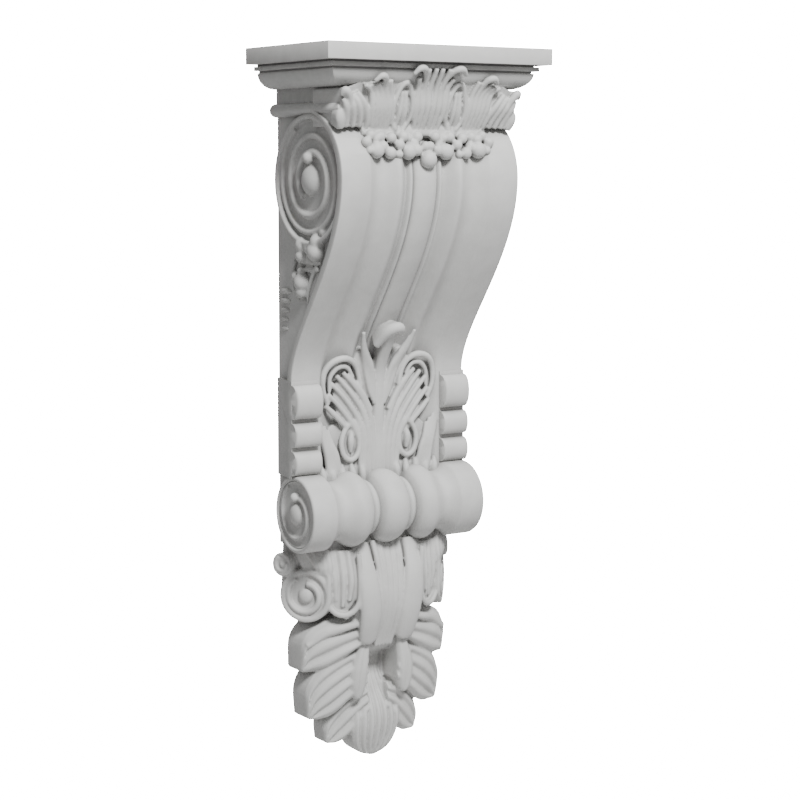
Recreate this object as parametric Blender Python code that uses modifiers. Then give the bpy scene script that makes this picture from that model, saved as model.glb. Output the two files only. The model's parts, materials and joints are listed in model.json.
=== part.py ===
"""Corbel: a moulded scroll bracket with acanthus carving, cast as one piece.

The wall face lies in the plane y = 0 and the front looks along -Y. +Z is up, and the origin is the
middle of the wall face. A drop is a distance down from the top, a depth is one out from the wall.
The cast is fused from overlapping shapes, then cut flat at the wall.
"""
import math

import bmesh
import bpy
import numpy as np
from mathutils import Vector

# Overall block
HEIGHT = 0.560
WIDTH = 0.200
DEPTH = 0.120

# Abacus courses from the top down, with how far each steps in under the one above
FASCIA_HEIGHT = 0.0124
FILLET_HEIGHT = 0.0062
FILLET_STEP = 0.0071
OVOLO_HEIGHT = 0.0122
OVOLO_SETBACK = 0.0029
OVOLO_STEP = 0.015
THROAT_HEIGHT = 0.0107
THROAT_STEP = 0.0015
BEAD_HEIGHT = 0.0105
BEAD_SWELL = 0.006

# Scroll body: width, side panels, and the upper volutes that give the front its crest
BODY_WIDTH = 0.159
PANEL_RECESS = 0.0069
EDGE_STRIP = 0.0075
VOLUTE_RADIUS = 0.0507
VOLUTE_DEPTH = 0.0545
VOLUTE_DROP = 0.098
VOLUTE_BOSS = 0.012
CREST_PULL = 0.062
WAIST_DEPTH = 0.031
WAIST_DROP = 0.252
WAIST_PULL = 0.038

# Flutes across the front, as distances from the middle and depths below the edge strips
STRIP_INNER = 0.055
COVE_INNER = 0.0275
COVE_SINK = 0.0058
CREST_SINK = 0.0015
GROOVE_SINK = 0.0115
REED_OUTER = 0.0105
REED_SINK = 0.0062
QUIRK = 0.0055

# Stacked cushions beside the middle leaf
CUSHION_INNER = 0.057
CUSHION_OUTER = 0.0785
CUSHION_SWELL = 0.011
LEDGE_HEIGHT = 0.003
CUSHION_EASE = 0.002

# Roll under the cushions
ROLL_RADIUS = 0.0298
ROLL_DEPTH = 0.0336
ROLL_DROP = 0.3547
ROLL_WIDTH = 0.158
ROLL_DRUM = 0.021
ROLL_COVE = 0.011
ROLL_BEAD = 0.0265
ROLL_FILLET = 0.0075
ROLL_NECK = 0.024
ROLL_GROOVE = 0.021
ROLL_EASE = 0.003
ROLL_OVERLAP = 0.0025
BACKING_DEPTH = 0.0285

# Bell of husks under the roll, and the leaf drop below it
BELL_WIDTH = 0.138
BELL_DEPTH = 0.044
BELL_THROAT = 0.037
BELL_FOOT_DROP = 0.466
BELL_FOOT_WIDTH = 0.050
BELL_FOOT_DEPTH = 0.034
STEM_DEPTH = 0.017
STEM_WIDTH = 0.036
LOWER_VOLUTE_RADIUS = 0.021
LOWER_VOLUTE_DROP = 0.4215
LOWER_VOLUTE_DEPTH = 0.023
LOWER_VOLUTE_SIDE = 0.063

# Berries
BERRY_RADIUS = 0.0053
SMALL_BERRY_RADIUS = 0.0036
BERRY_ROOT = 3.0

# Cast
VOXEL = 0.0015
CARVING_FACES = 4750
SOFTEN_STEPS = 2
PAST_WALL = 0.004
FUSE_DISTANCE = 0.00005
SHARP_ANGLE = 40
CAST_ROUGHNESS = 0.7
CLAY = (0.62, 0.62, 0.62, 1.0)

TOP = HEIGHT / 2
ABACUS_FOOT = FASCIA_HEIGHT + FILLET_HEIGHT + OVOLO_HEIGHT + THROAT_HEIGHT + BEAD_HEIGHT
THROAT_HALF = WIDTH / 2 - FILLET_STEP - OVOLO_SETBACK - OVOLO_STEP - THROAT_STEP
HALF_BODY = BODY_WIDTH / 2
PANEL = HALF_BODY - PANEL_RECESS
ROLL_TOP = ROLL_DROP - ROLL_RADIUS
BODY_FOOT = ROLL_TOP + ROLL_OVERLAP
BELL_TOP = ROLL_DROP + ROLL_RADIUS

# The free carving is drawn in parts, 200 to the width. Its heights are drawn on a block 560 high, and
# stretch between the stations where the mouldings stand. SINK is how deep a finger is rooted.
DRAWN_WIDTH = 200
PART = WIDTH / DRAWN_WIDTH
DRAWN = (0, 52, 98, 252, 325, 384.5, 421.5, 466, 560)
STATIONS = (0, ABACUS_FOOT, VOLUTE_DROP, WAIST_DROP, ROLL_TOP, BELL_TOP, LOWER_VOLUTE_DROP, BELL_FOOT_DROP,
            HEIGHT)
BAND_FOOT = 60
SINK = 13
OUT = Vector((0, -1, 0))
UP = Vector((0, 0, 1))
SIDES = (-1, 1)


def place(x, depth, drop):
    return Vector((x, -depth, TOP - drop))


def level(drawn):
    """The drop of a height on the drawing."""
    return float(np.interp(drawn, DRAWN, STATIONS))


def drawn_at(x, depth, drawn):
    """A point of the drawing, from its x and depth in parts and its height."""
    return place(x * PART, depth * PART, level(drawn))


def mirrored(side, *spots):
    return [(side * spot[0], *spot[1:]) for spot in spots]


def ease(share):
    """0 to 1 with level ends."""
    share = min(max(share, 0.0), 1.0)
    return share * share * (3 - 2 * share)


def between(first, last, share):
    return first + (last - first) * share


def add_mesh(name, vertices, faces, collection):
    mesh = bpy.data.meshes.new(name)
    mesh.from_pydata([tuple(v) for v in vertices], [], faces)
    mesh.update()
    shape = bpy.data.objects.new(name, mesh)
    collection.objects.link(shape)
    work = bmesh.new()
    work.from_mesh(mesh)
    bmesh.ops.recalc_face_normals(work, faces=work.faces)
    work.to_mesh(mesh)
    work.free()
    return shape


def loft(name, rings, collection=None):
    """One closed skin through rings of as many points each, capped at both ends."""
    count = len(rings[0])
    vertices = [v for ring in rings for v in ring]
    faces = [tuple(range(count)), tuple(range(len(vertices) - count, len(vertices)))]
    for row in range(len(rings) - 1):
        for k in range(count):
            a = row * count + k
            b = row * count + (k + 1) % count
            faces.append((a, b, b + count, a + count))
    return add_mesh(name, vertices, faces, collection or forms)


def smooth_path(points, steps):
    """Points along the Catmull-Rom curve through the given ones."""
    knots = [points[0] * 2 - points[1]] + list(points) + [points[-1] * 2 - points[-2]]
    path = []
    for step in range(steps + 1):
        along = step / steps * (len(points) - 1)
        k = min(int(along), len(points) - 2)
        t = along - k
        a, b, c, d = knots[k:k + 4]
        path.append(0.5 * (2 * b + (c - a) * t + (2 * a - 5 * b + 4 * c - d) * t * t
                           + (3 * b - a - 3 * c + d) * t ** 3))
    return path


def blade(points, half_width, crown, sink, out, lobes=1, groove=0.0, root=0.5, belly=0.5, steps=10,
          to_wall=False):
    """A leaf or finger along a path: domed towards out, with lobes parted by grooves, round at its tip.

    root is its width at the start as a share of half_width, and belly the share of its length where
    it is widest. It reaches sink behind the path, so that it merges with what carries it, or with
    to_wall it stands square off the wall like a leaf drawn from a mould.
    """
    path = smooth_path(points, steps)
    across = 4 + 4 * lobes
    rings = []
    for step, centre in enumerate(path):
        t = step / steps
        along = (path[min(step + 1, steps)] - path[max(step - 1, 0)]).normalized()
        normal = (out - along * out.dot(along)).normalized()
        sideways = along.cross(normal)
        if t < belly:
            wide = between(root, 1.0, ease(t / belly))
        else:
            wide = max(1 - ((t - belly) / (1 - belly)) ** 2.6, 0.01) ** 0.42
        width = half_width * wide
        dome = crown * (0.35 + 0.65 * wide)
        ring = []
        for k in range(across + 1):
            s = 2 * k / across - 1
            lift = dome * math.sqrt(max(1 - s * s, 0))
            if lobes > 1 and abs(s) < 0.98:
                lift -= groove * wide * (0.5 + 0.5 * math.cos(math.pi * lobes * (s + 1)))
            ring.append(centre + sideways * (s * width) + normal * lift)
        if to_wall:
            feet = [between(v, centre, 0.1) for v in (ring[-1], ring[0])]
            ring += [Vector((v.x, PAST_WALL, v.z)) for v in feet]
        else:
            ring += [centre + sideways * (s * width) - normal * sink for s in (0.8, -0.8)]
        rings.append(ring)
    return loft("blade", rings)


def berry(middle, radius, root=1.0):
    """A ball whose back half is stretched towards the wall by root, so that it grows from its ground."""
    work = bmesh.new()
    bmesh.ops.create_icosphere(work, subdivisions=2, radius=radius)
    for vertex in work.verts:
        if vertex.co.y > 0:
            vertex.co.y *= root
    bmesh.ops.translate(work, verts=work.verts, vec=middle)
    mesh = bpy.data.meshes.new("berry")
    work.to_mesh(mesh)
    work.free()
    forms.objects.link(bpy.data.objects.new("berry", mesh))


def scroll_face(centre, out, radius, turns, ridge, boss, back, rim=0.12, hand=1):
    """A disc facing out, with a rim, a ridge that winds inwards, and a domed boss in the middle."""
    out = out.normalized()
    up = (UP - out * UP.dot(out)).normalized()
    right = up.cross(out) * hand
    rounds, spokes = 26, 48
    rings = []
    inner = boss * 1.25
    pitch = (radius * (1 - rim) - inner) / turns
    for row in range(rounds + 1):
        r = radius * row / rounds
        ring = []
        for k in range(spokes):
            angle = 2 * math.pi * k / spokes
            if r < inner:
                height = 1.3 * ridge * math.sqrt(max(1 - (r / boss) ** 2, 0)) if r < boss else 0.0
            elif r > radius * (1 - rim):
                height = ridge * math.sqrt(max(1 - ((r / radius - 1 + rim) / rim) ** 2 * 0.8, 0))
            else:
                wind = (r - inner) / pitch + angle / (2 * math.pi)
                height = ridge * (0.5 - 0.5 * math.cos(2 * math.pi * wind)) ** 0.8
            arm = right * math.cos(angle) + up * math.sin(angle)
            ring.append(centre + arm * max(r, radius * 0.004) + out * height)
        rings.append(ring)
    rings.append([v - out * (back + (v - centre).dot(out)) for v in rings[-1]])
    return loft("scroll face", rings)


# Abacus

def abacus_courses():
    """(drop, half width) down the moulding, with the ovolo and the bead as arcs."""
    half = WIDTH / 2
    courses = [(0, half), (FASCIA_HEIGHT, half)]
    drop = FASCIA_HEIGHT
    half -= FILLET_STEP
    courses += [(drop, half), (drop + FILLET_HEIGHT, half)]
    drop += FILLET_HEIGHT
    half -= OVOLO_SETBACK
    courses.append((drop, half))
    for k in range(1, 7):
        turn = math.pi / 2 * k / 6
        courses.append((drop + OVOLO_HEIGHT * math.sin(turn), half - OVOLO_STEP * (1 - math.cos(turn))))
    drop += OVOLO_HEIGHT
    courses += [(drop, THROAT_HALF), (drop + THROAT_HEIGHT, THROAT_HALF)]
    drop += THROAT_HEIGHT
    for k in range(1, 8):
        turn = math.pi * k / 8
        courses.append((drop + BEAD_HEIGHT * (1 - math.cos(turn)) / 2,
                        THROAT_HALF + BEAD_SWELL * math.sin(turn)))
    courses.append((drop + BEAD_HEIGHT, THROAT_HALF))
    return courses


def make_abacus():
    rings = []
    for drop, half in abacus_courses():
        depth = DEPTH - (WIDTH / 2 - half)
        rings.append([place(-half, -PAST_WALL, drop), place(half, -PAST_WALL, drop),
                      place(half, depth, drop), place(-half, depth, drop)])
    loft("abacus", rings, mouldings)


# Scroll body

def front_depth(drop):
    """Depth of the edge strips: round the volute above its middle, then one S curve to the waist."""
    if drop <= VOLUTE_DROP:
        rise = min(VOLUTE_DROP - drop, VOLUTE_RADIUS * 0.98)
        return VOLUTE_DEPTH + math.sqrt(VOLUTE_RADIUS ** 2 - rise ** 2)
    if drop >= WAIST_DROP:
        return WAIST_DEPTH
    low, high = 0.0, 1.0
    for _ in range(30):
        t = (low + high) / 2
        here = bezier(VOLUTE_DROP, VOLUTE_DROP + CREST_PULL, WAIST_DROP - WAIST_PULL, WAIST_DROP, t)
        low, high = (t, high) if here < drop else (low, t)
    crest = VOLUTE_DEPTH + VOLUTE_RADIUS
    return bezier(crest, crest, WAIST_DEPTH, WAIST_DEPTH, t)


def bezier(a, b, c, d, t):
    s = 1 - t
    return a * s ** 3 + 3 * b * s * s * t + 3 * c * s * t * t + d * t ** 3


def flute_sink(x):
    """How far the front lies behind the edge strips at x: a cove, a crest, a quirk and the middle reed."""
    x = abs(x)
    if x >= STRIP_INNER:
        return 0.0
    if x >= COVE_INNER:
        share = (x - COVE_INNER) / (STRIP_INNER - COVE_INNER)
        return between(CREST_SINK, 0, share) + COVE_SINK * math.sin(math.pi * share) ** 1.2
    groove = REED_OUTER + QUIRK
    if x >= groove:
        return between(GROOVE_SINK, CREST_SINK, ease((x - groove) / (COVE_INNER - groove)))
    if x >= REED_OUTER:
        return GROOVE_SINK - 0.55 * QUIRK * math.sin(math.pi * (x - REED_OUTER) / QUIRK)
    return GROOVE_SINK - (GROOVE_SINK - REED_SINK) * math.sqrt(1 - (x / REED_OUTER) ** 2)


def make_body():
    rings = []
    levels = 20
    first = ABACUS_FOOT - 0.5 * BEAD_HEIGHT
    reed = [REED_OUTER * math.sin(math.pi / 2 * k / 3) for k in range(1, 4)]
    quirk = [REED_OUTER + QUIRK * k / 3 for k in range(1, 4)]
    crest = [between(REED_OUTER + QUIRK, COVE_INNER, k / 3) for k in range(1, 4)]
    cove = [between(COVE_INNER, STRIP_INNER, k / 5) for k in range(1, 6)]
    columns = reed + quirk + crest + cove + [HALF_BODY]
    for step in range(levels + 1):
        drop = between(first, BODY_FOOT, step / levels)
        depth = front_depth(drop)
        edge = max(depth - EDGE_STRIP, 0.3 * depth)
        half = [place(x, depth - flute_sink(x), drop) for x in columns]
        half += [place(HALF_BODY, edge, drop), place(PANEL, edge - 0.3 * PANEL_RECESS, drop),
                 place(PANEL, -PAST_WALL, drop)]
        left = [Vector((-v.x, v.y, v.z)) for v in reversed(half)]
        rings.append(left + [place(0, depth - flute_sink(0), drop)] + half)
    loft("scroll body", rings, mouldings)


def make_side_volutes():
    for side in SIDES:
        centre = place(side * (HALF_BODY - 0.6 * PANEL_RECESS), VOLUTE_DEPTH, VOLUTE_DROP)
        scroll_face(centre, Vector((side, 0, 0)), VOLUTE_RADIUS, 2.0, 0.72 * PANEL_RECESS, VOLUTE_BOSS,
                    PANEL_RECESS, hand=side)
        berry(place(side * HALF_BODY, VOLUTE_DEPTH, VOLUTE_DROP - 1.35 * VOLUTE_BOSS), SMALL_BERRY_RADIUS)


def make_side_drops():
    """A bud of round leaves hangs under each side volute, with ribs that shrink down the wall."""
    panel = PANEL / PART
    for side in SIDES:
        out = Vector((side, 0, 0))
        for depth, drop, radius in ((70, 139, 4.5), (61, 149, 9.5), (52, 153, 6.5), (41, 152, 8.5),
                                    (47, 162, 6), (36, 163, 6), (39, 170, 6), (41, 178, 8), (31, 173, 5)):
            berry(drawn_at(side * (panel + 0.05 * radius), depth, drop), radius * PART)
        for rib in range(5):
            drop = 184.5 + (7.8 - 0.2 * rib) * rib
            reach = 20 - 1.6 * rib
            path = [drawn_at(side * panel, 4, drop), drawn_at(side * panel, 0.6 * reach, drop),
                    drawn_at(side * panel, reach, drop + 1)]
            blade(path, 2.8 * PART, 2.8 * PART, 2 * PART, out, root=0.6)


# Stacked cushions

def make_cushions():
    rows = (1.35, 1.0, 1.0)
    unit = (ROLL_TOP - WAIST_DROP) / sum(rows)
    outline = [(-PAST_WALL, WAIST_DROP)]
    drop = WAIST_DROP
    for row in rows:
        swell = CUSHION_SWELL * (0.3 + 0.52 * row)
        height = row * unit
        outline += [(WAIST_DEPTH + 0.1 * swell, drop), (WAIST_DEPTH + 0.1 * swell, drop + LEDGE_HEIGHT)]
        for k in range(9):
            turn = math.pi * k / 8
            share = (1 - math.cos(turn)) / 2
            outline.append((WAIST_DEPTH + swell * math.sin(turn) ** 0.7,
                            drop + LEDGE_HEIGHT + (height - LEDGE_HEIGHT) * share))
        drop += height
    outline += [(WAIST_DEPTH, BODY_FOOT), (-PAST_WALL, BODY_FOOT)]
    for side in SIDES:
        rings = []
        for x, inset, draft in ((CUSHION_INNER, 0.1, 0), (CUSHION_INNER + CUSHION_EASE, 0, 0),
                                (CUSHION_OUTER - CUSHION_EASE, 0, PANEL_RECESS),
                                (CUSHION_OUTER, 0.15, PANEL_RECESS)):
            ring = []
            for depth, drop in outline:
                behind = draft if depth < 0 else 0
                ring.append(place(side * (x - behind), depth - inset * max(depth - WAIST_DEPTH, 0), drop))
            rings.append(ring)
        loft("cushions", rings, mouldings)


# Middle leaf between the cushions

def ground(drop):
    """Depth of the fluted front between the cushions, where the middle leaf grows."""
    return front_depth(drop) - 0.7 * GROOVE_SINK


def carve(points, width, crown, relief, **shape):
    """A finger of the middle leaf through (x, height) points, raised over the ground by relief."""
    path = []
    for k, (x, drawn) in enumerate(points):
        rise = between(*relief, k / (len(points) - 1)) if isinstance(relief, tuple) else relief
        path.append(place(x * PART, ground(level(drawn)) + rise * PART, level(drawn)))
    blade(path, width * PART, crown * PART, SINK * PART, OUT, **shape)


def arc(middle_x, middle_drop, across, tall, first, last, step):
    """Points (x, height) round an ellipse, from an angle to another in degrees."""
    return [(middle_x + across * math.cos(math.radians(a)), middle_drop - tall * math.sin(math.radians(a)))
            for a in range(first, last + 1, step)]


def make_middle_leaf():
    carve(((0, 334), (0, 290), (0, 250), (0, 226), (0, 214)), 5.5, 4, (6, 13), root=1.3)
    carve(((-10, 224), (-3, 214), (9, 219)), 4.5, 5, 12)
    for side in SIDES:
        for points, width, crown, relief, root in ((((8, 312), (20, 282), (34, 252)), 17, 4, 2, 0.6),
                                                   (((12, 334), (24, 314), (38, 288)), 16, 3.5, 1.5, 0.8),
                                                   (((5, 262), (14, 246), (22, 226)), 11, 4, 3, 0.6)):
            carve(mirrored(side, *points), width, crown, relief, root=root)
        for k in range(3):
            stalk = ((5 + 7 * k, 334), (6 + 7 * k, 310), (6 + 4 * k, 280), (5 + 2 * k, 252))
            carve(mirrored(side, *stalk), 4.2, 3.4, (5, 6), root=1.0)
            frond = ((4, 262 - 4 * k), (11 + 2 * k, 246 - 5 * k), (25 - 3 * k, 234 - 7 * k))
            carve(mirrored(side, *frond), 3.8, 3.6, (7, 10), root=0.8)
        for k in range(4):
            turn = math.radians(16 + 34 * k)
            finger = ((14 + 1.5 * k, 304 - 10 * k), (23 + 2 * k, 284 - 11 * k),
                      (31 + 15 * math.cos(turn), 256 - 15 * math.sin(turn)))
            carve(mirrored(side, *finger), 3.8, 3.4, (5, 7), root=0.7)
            outer = ((56 - 4 * k, 282 + 2 * k), (47 - 3 * k, 296 + 2 * k), (40 - 5 * k, 328))
            carve(mirrored(side, *outer), 3.4, 3.4, 4, root=0.8)
        carve(mirrored(side, *arc(32, 252, 16, 18, -40, 180, 30)), 3.0, 3.2, 6, root=0.6, steps=16)
        carve(mirrored(side, *arc(26, 296, 8, 13, -60, 240, 30)), 2.8, 3.2, 6, root=1.0, steps=18)


# Roll

def make_roll():
    """The turned roll: drums at the ends, then a bell-shaped bead, a fillet and the middle bead."""
    half = ROLL_WIDTH / 2
    drum = half - ROLL_DRUM
    neck = drum - ROLL_COVE
    bead = neck - ROLL_BEAD
    fillet = bead - ROLL_FILLET
    profile = [(half, 0), (half, ROLL_RADIUS - ROLL_EASE), (half - ROLL_EASE, ROLL_RADIUS),
               (drum, ROLL_RADIUS)]
    for k in range(1, 5):
        share = k / 4
        hollow = math.sin(math.pi / 2 * share)
        profile.append((between(drum, neck, share), between(ROLL_RADIUS, ROLL_NECK, hollow)))
    for k in range(1, 9):
        share = k / 8
        swell = ease(share / 0.55) if share < 0.55 else math.sqrt(1 - ((share - 0.55) / 0.45) ** 2)
        foot = ROLL_NECK if share < 0.55 else ROLL_GROOVE
        profile.append((between(neck, bead, share), between(foot, ROLL_RADIUS, swell)))
    for k in range(1, 4):
        share = k / 3
        profile.append((between(bead, fillet, share), ROLL_GROOVE + 2.5 * PART * math.sin(math.pi * share)))
    for k in range(1, 6):
        share = k / 5
        swell = math.sqrt(1 - (1 - share) ** 2)
        profile.append((fillet * (1 - share), between(ROLL_GROOVE, ROLL_RADIUS - 0.5 * PART, swell)))
    profile += [(-x, radius) for x, radius in reversed(profile[:-1])]
    mesh = bpy.data.meshes.new("roll")
    mesh.from_pydata([(x, 0, radius) for x, radius in profile],
                     [(k, k + 1) for k in range(len(profile) - 1)], [])
    roll = bpy.data.objects.new("roll", mesh)
    mouldings.objects.link(roll)
    roll.location = place(0, ROLL_DEPTH, ROLL_DROP)
    turn = roll.modifiers.new("turn", "SCREW")
    turn.axis = "X"
    turn.steps = turn.render_steps = 24
    turn.use_merge_vertices = True
    turn.merge_threshold = FUSE_DISTANCE
    for side in SIDES:
        centre = place(side * (half - 2 * PART), ROLL_DEPTH, ROLL_DROP)
        scroll_face(centre, Vector((side, 0, 0)), 0.97 * ROLL_RADIUS, 1.0, 4.5 * PART, 0.36 * ROLL_RADIUS,
                    6 * PART, rim=0.16, hand=side)
        berry(place(side * (half + 1 * PART), ROLL_DEPTH, ROLL_DROP - 0.52 * ROLL_RADIUS), SMALL_BERRY_RADIUS)
    rings = []
    for drop in (ROLL_TOP - ROLL_OVERLAP, ROLL_DROP, BELL_TOP - ROLL_OVERLAP):
        rings.append([place(-PANEL, -PAST_WALL, drop), place(PANEL, -PAST_WALL, drop),
                      place(PANEL, BACKING_DEPTH, drop), place(-PANEL, BACKING_DEPTH, drop)])
    loft("roll backing", rings)


# Bell of husks

def bell(drop):
    """(half width, depth) of the bell and of the stem below it."""
    share = (drop - BELL_TOP) / (BELL_FOOT_DROP - BELL_TOP)
    if share <= 1:
        swell = math.sin(math.pi * min(max(share, 0), 1) ** 0.9)
        half = between(BELL_WIDTH, BELL_FOOT_WIDTH, ease(share)) / 2
        depth = between(BELL_THROAT, BELL_FOOT_DEPTH, share)
        return half, depth + (BELL_DEPTH - (BELL_THROAT + BELL_FOOT_DEPTH) / 2) * swell
    share = ease((drop - BELL_FOOT_DROP) / (14 * PART))
    return (between(BELL_FOOT_WIDTH, STEM_WIDTH, share) / 2, between(BELL_FOOT_DEPTH, STEM_DEPTH, share))


def bell_depth(x, drop):
    half, depth = bell(drop)
    return depth * (1 - 0.45 * min(abs(x) / half, 1.0) ** 5)


def make_bell():
    rings = []
    for k in range(41):
        drop = between(BELL_TOP - 14 * PART, level(530), k / 40)
        half, depth = bell(drop)
        row = [place(half * s / 10, bell_depth(half * s / 10, drop) - 3 * PART, drop) for s in range(-10, 11)]
        rings.append([place(-half, -PAST_WALL, drop)] + row + [place(half, -PAST_WALL, drop)])
    loft("bell", rings)


def husk(points, width, crown, relief, out=OUT, **shape):
    """A finger over the bell through (x, height) points."""
    path = [place(x * PART, bell_depth(x * PART, level(drawn)) + relief * PART, level(drawn))
            for x, drawn in points]
    blade(path, width * PART, crown * PART, SINK * PART, out, **shape)


def make_husks():
    for k in range(-3, 4):
        lean = Vector((0.1 * k, -1, 0))
        husk(((8.6 * k, 382), (8.4 * k, 404), (7.6 * k, 432), (5.2 * k, 468)), 4.5, 6, -1.5, lean, root=0.95)
    for side in SIDES:
        lean = Vector((0.5 * side, -1, 0))
        husk(mirrored(side, (15, 434), (15, 452), (15, 472)), 9, 5, 2, root=0.9)
        for k in range(3):
            inner = ((33 + 7 * k, 390), (34 + 6 * k, 412), (36 + 4 * k, 436))
            husk(mirrored(side, *inner), 3.4, 5.5, 1, lean, root=0.9)
            outer = ((68 - 5 * k, 382), (60 - 3 * k, 396), (54 - 2 * k, 412))
            husk(mirrored(side, *outer), 3, 5.5, -1, lean, root=0.9)
        husk(mirrored(side, (26, 386), (27, 415), (33, 441)), 3.4, 4.5, 2, lean, root=0.9)
        husk(mirrored(side, (54, 386), (52, 415), (45, 440)), 3.4, 4.5, 2, lean, root=0.9)
        husk(mirrored(side, (26, 440), (31, 452), (36, 461)), 4.5, 5, 5, lean, root=0.7)


def make_lower_volutes():
    for side in SIDES:
        out = Vector((0.77 * side, -0.64, 0.0))
        centre = place(side * LOWER_VOLUTE_SIDE, LOWER_VOLUTE_DEPTH, LOWER_VOLUTE_DROP)
        scroll_face(centre, out, LOWER_VOLUTE_RADIUS, 1.0, 4.5 * PART, 0.38 * LOWER_VOLUTE_RADIUS, 24 * PART,
                    rim=0.22, hand=side)
        small = place(side * 77 * PART, 10 * PART, LOWER_VOLUTE_DROP - 24 * PART)
        scroll_face(small, Vector((0.94 * side, -0.34, 0)), 0.45 * LOWER_VOLUTE_RADIUS, 1.0, 2 * PART,
                    0.2 * LOWER_VOLUTE_RADIUS, 16 * PART, rim=0.25, hand=side)
        blade([centre + Vector((-side * 9, -12, z)) * PART for z in (20, 0, -16)], 7 * PART, 2 * PART,
              14 * PART, out, root=1.0, steps=8)
        block = []
        for drop, half in ((BELL_TOP - 4 * PART, 70), (LOWER_VOLUTE_DROP, 72),
                           (LOWER_VOLUTE_DROP + LOWER_VOLUTE_RADIUS, 62), (level(456), 44)):
            block.append([place(side * x, depth, drop) for x, depth in
                          ((20 * PART, -PAST_WALL), (half * PART, -PAST_WALL), (half * PART, 6 * PART),
                           (20 * PART, 34 * PART))])
        loft("volute backing", block)


# Leaf drop

def leaf_between(upper, lower, stem_depth, tip_depth, dome, ribs, groove=3.4):
    """A leaf between two edges, each drawn through (x, height) from the stem to the tip where they meet.

    It stands off the wall with a flank all round, its face is domed, and grooves part its ribs.
    """
    steps, across = 24, 8 * ribs
    edges = [smooth_path([drawn_at(x, 0, drawn) for x, drawn in edge], steps) for edge in (upper, lower)]
    rings = []
    for step in range(steps + 1):
        t = step / steps
        depth = between(stem_depth, tip_depth, ease(t))
        fall = max(t - 0.8, 0) / 0.2
        ring = []
        for k in range(across + 1):
            s = k / across
            lift = dome * max(1 - abs(2 * s - 1) ** 3, 0) ** 0.5 * (1 - 0.6 * fall ** 2)
            if 0 < k < across:
                lift -= groove * (1 - fall) * (0.5 + 0.5 * math.cos(2 * math.pi * ribs * s)) ** 1.5
            spot = between(edges[0][step], edges[1][step], s)
            ring.append(Vector((spot.x, -(depth + lift) * PART, spot.z)))
        middle = between(edges[0][step], edges[1][step], 0.5)
        feet = [between(v, middle, 0.08) for v in (ring[-1], ring[0])]
        ring += [Vector((v.x, PAST_WALL, v.z)) for v in feet]
        rings.append(ring)
    loft("leaf", rings)


def make_leaf_drop():
    for side in SIDES:
        for upper, lower, stem_depth, tip_depth, dome, ribs in (
                (((4, 439), (30, 438), (54, 444), (65.5, 457), (66.5, 480)),
                 ((20, 463), (36, 473), (50, 481), (60, 483), (65, 483)), 37, 21, 5, 4),
                (((14, 464), (34, 470), (53, 481), (62, 497), (61, 520)),
                 ((14, 498), (26, 507), (40, 519), (50, 522.5), (58.5, 522)), 33, 20, 5, 4),
                (((10, 500), (22, 504), (35, 513), (43.3, 527), (42.5, 543)),
                 ((8, 522), (15, 530), (24, 541), (32, 545.5), (40.5, 545)), 26, 16, 4.4, 3)):
            leaf_between(mirrored(side, *upper), mirrored(side, *lower), stem_depth, tip_depth, dome, ribs)
        blade([drawn_at(*spot) for spot in mirrored(side, (15, 35, 456), (21, 35, 482), (22, 31, 508))],
              7.5 * PART, 4.4 * PART, 0, OUT, lobes=2, groove=1.6 * PART, belly=0.6, root=0.6, steps=16,
              to_wall=True)
        blade([drawn_at(*spot) for spot in mirrored(side, (14, 40, 443), (34, 37, 447), (50, 31, 452),
                                                    (62, 25, 459))],
              3.4 * PART, 3.2 * PART, 10 * PART, OUT, root=1.0)
    blade([drawn_at(0, 13, 484), drawn_at(0, 19, 504), drawn_at(0, 26, 526), drawn_at(0, 18, 559.8)],
          22 * PART, 6 * PART, 0, OUT, lobes=5, groove=3.0 * PART, belly=0.68, root=0.5, steps=24, to_wall=True)


# Leaf band over the front of the abacus

def band_depth(drop):
    """Depth of the band of leaves: a roll at its foot, then forward with the ovolo."""
    throat = DEPTH - (WIDTH / 2 - THROAT_HALF)
    foot = level(BAND_FOOT)
    share = (foot - drop) / (foot - FASCIA_HEIGHT)
    return throat + (7 * ease(2.6 * share) + 1 + 13 * ease((share - 0.4) / 0.75)) * PART


def make_band():
    """Five leaves of fingers: one in the middle, one on each side and one curling out at each corner."""
    edge = THROAT_HALF / PART + 4
    foot = level(BAND_FOOT)
    rings = []
    for x in np.linspace(-edge, edge, 15):
        top = level(20 + 12 * ease((abs(x) - 50) / 24))
        front = [place(x * PART, band_depth(drop) - 1 * PART, drop) for drop in np.linspace(foot, top, 8)]
        rings.append([place(x * PART, 0.5 * DEPTH, foot)] + front + [place(x * PART, 0.5 * DEPTH, top)])
    loft("band backing", rings)
    for middle, top in ((0, 12), (-43, 17), (43, 17)):
        for k in range(-3, 4):
            peak = top + 1.6 * k * k
            make_finger(0.9 * middle + 4.4 * k, 1.1 * middle + 6.6 * k, peak, 5.5 * ease((40 - peak) / 20))
    for side in SIDES:
        for k in range(4):
            make_finger(side * (60 + 4.5 * k), side * (64 + 4.6 * k), 34 - 2.5 * k + 1.2 * k * k, 2 + k)


def make_finger(low, high, peak, curl):
    """One finger of the band from x = low at its foot to x = high at its peak, which curls forward."""
    path = []
    for share in (0, 0.35, 0.7, 1):
        drop = level(between(BAND_FOOT, peak, share))
        x = between(low, high, share ** 1.5) * PART
        path.append(place(x, band_depth(drop) + curl * share ** 3 * PART, drop))
    blade(path, 3.9 * PART, 4.2 * PART, SINK * PART, OUT, root=0.8, belly=0.75)


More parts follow.
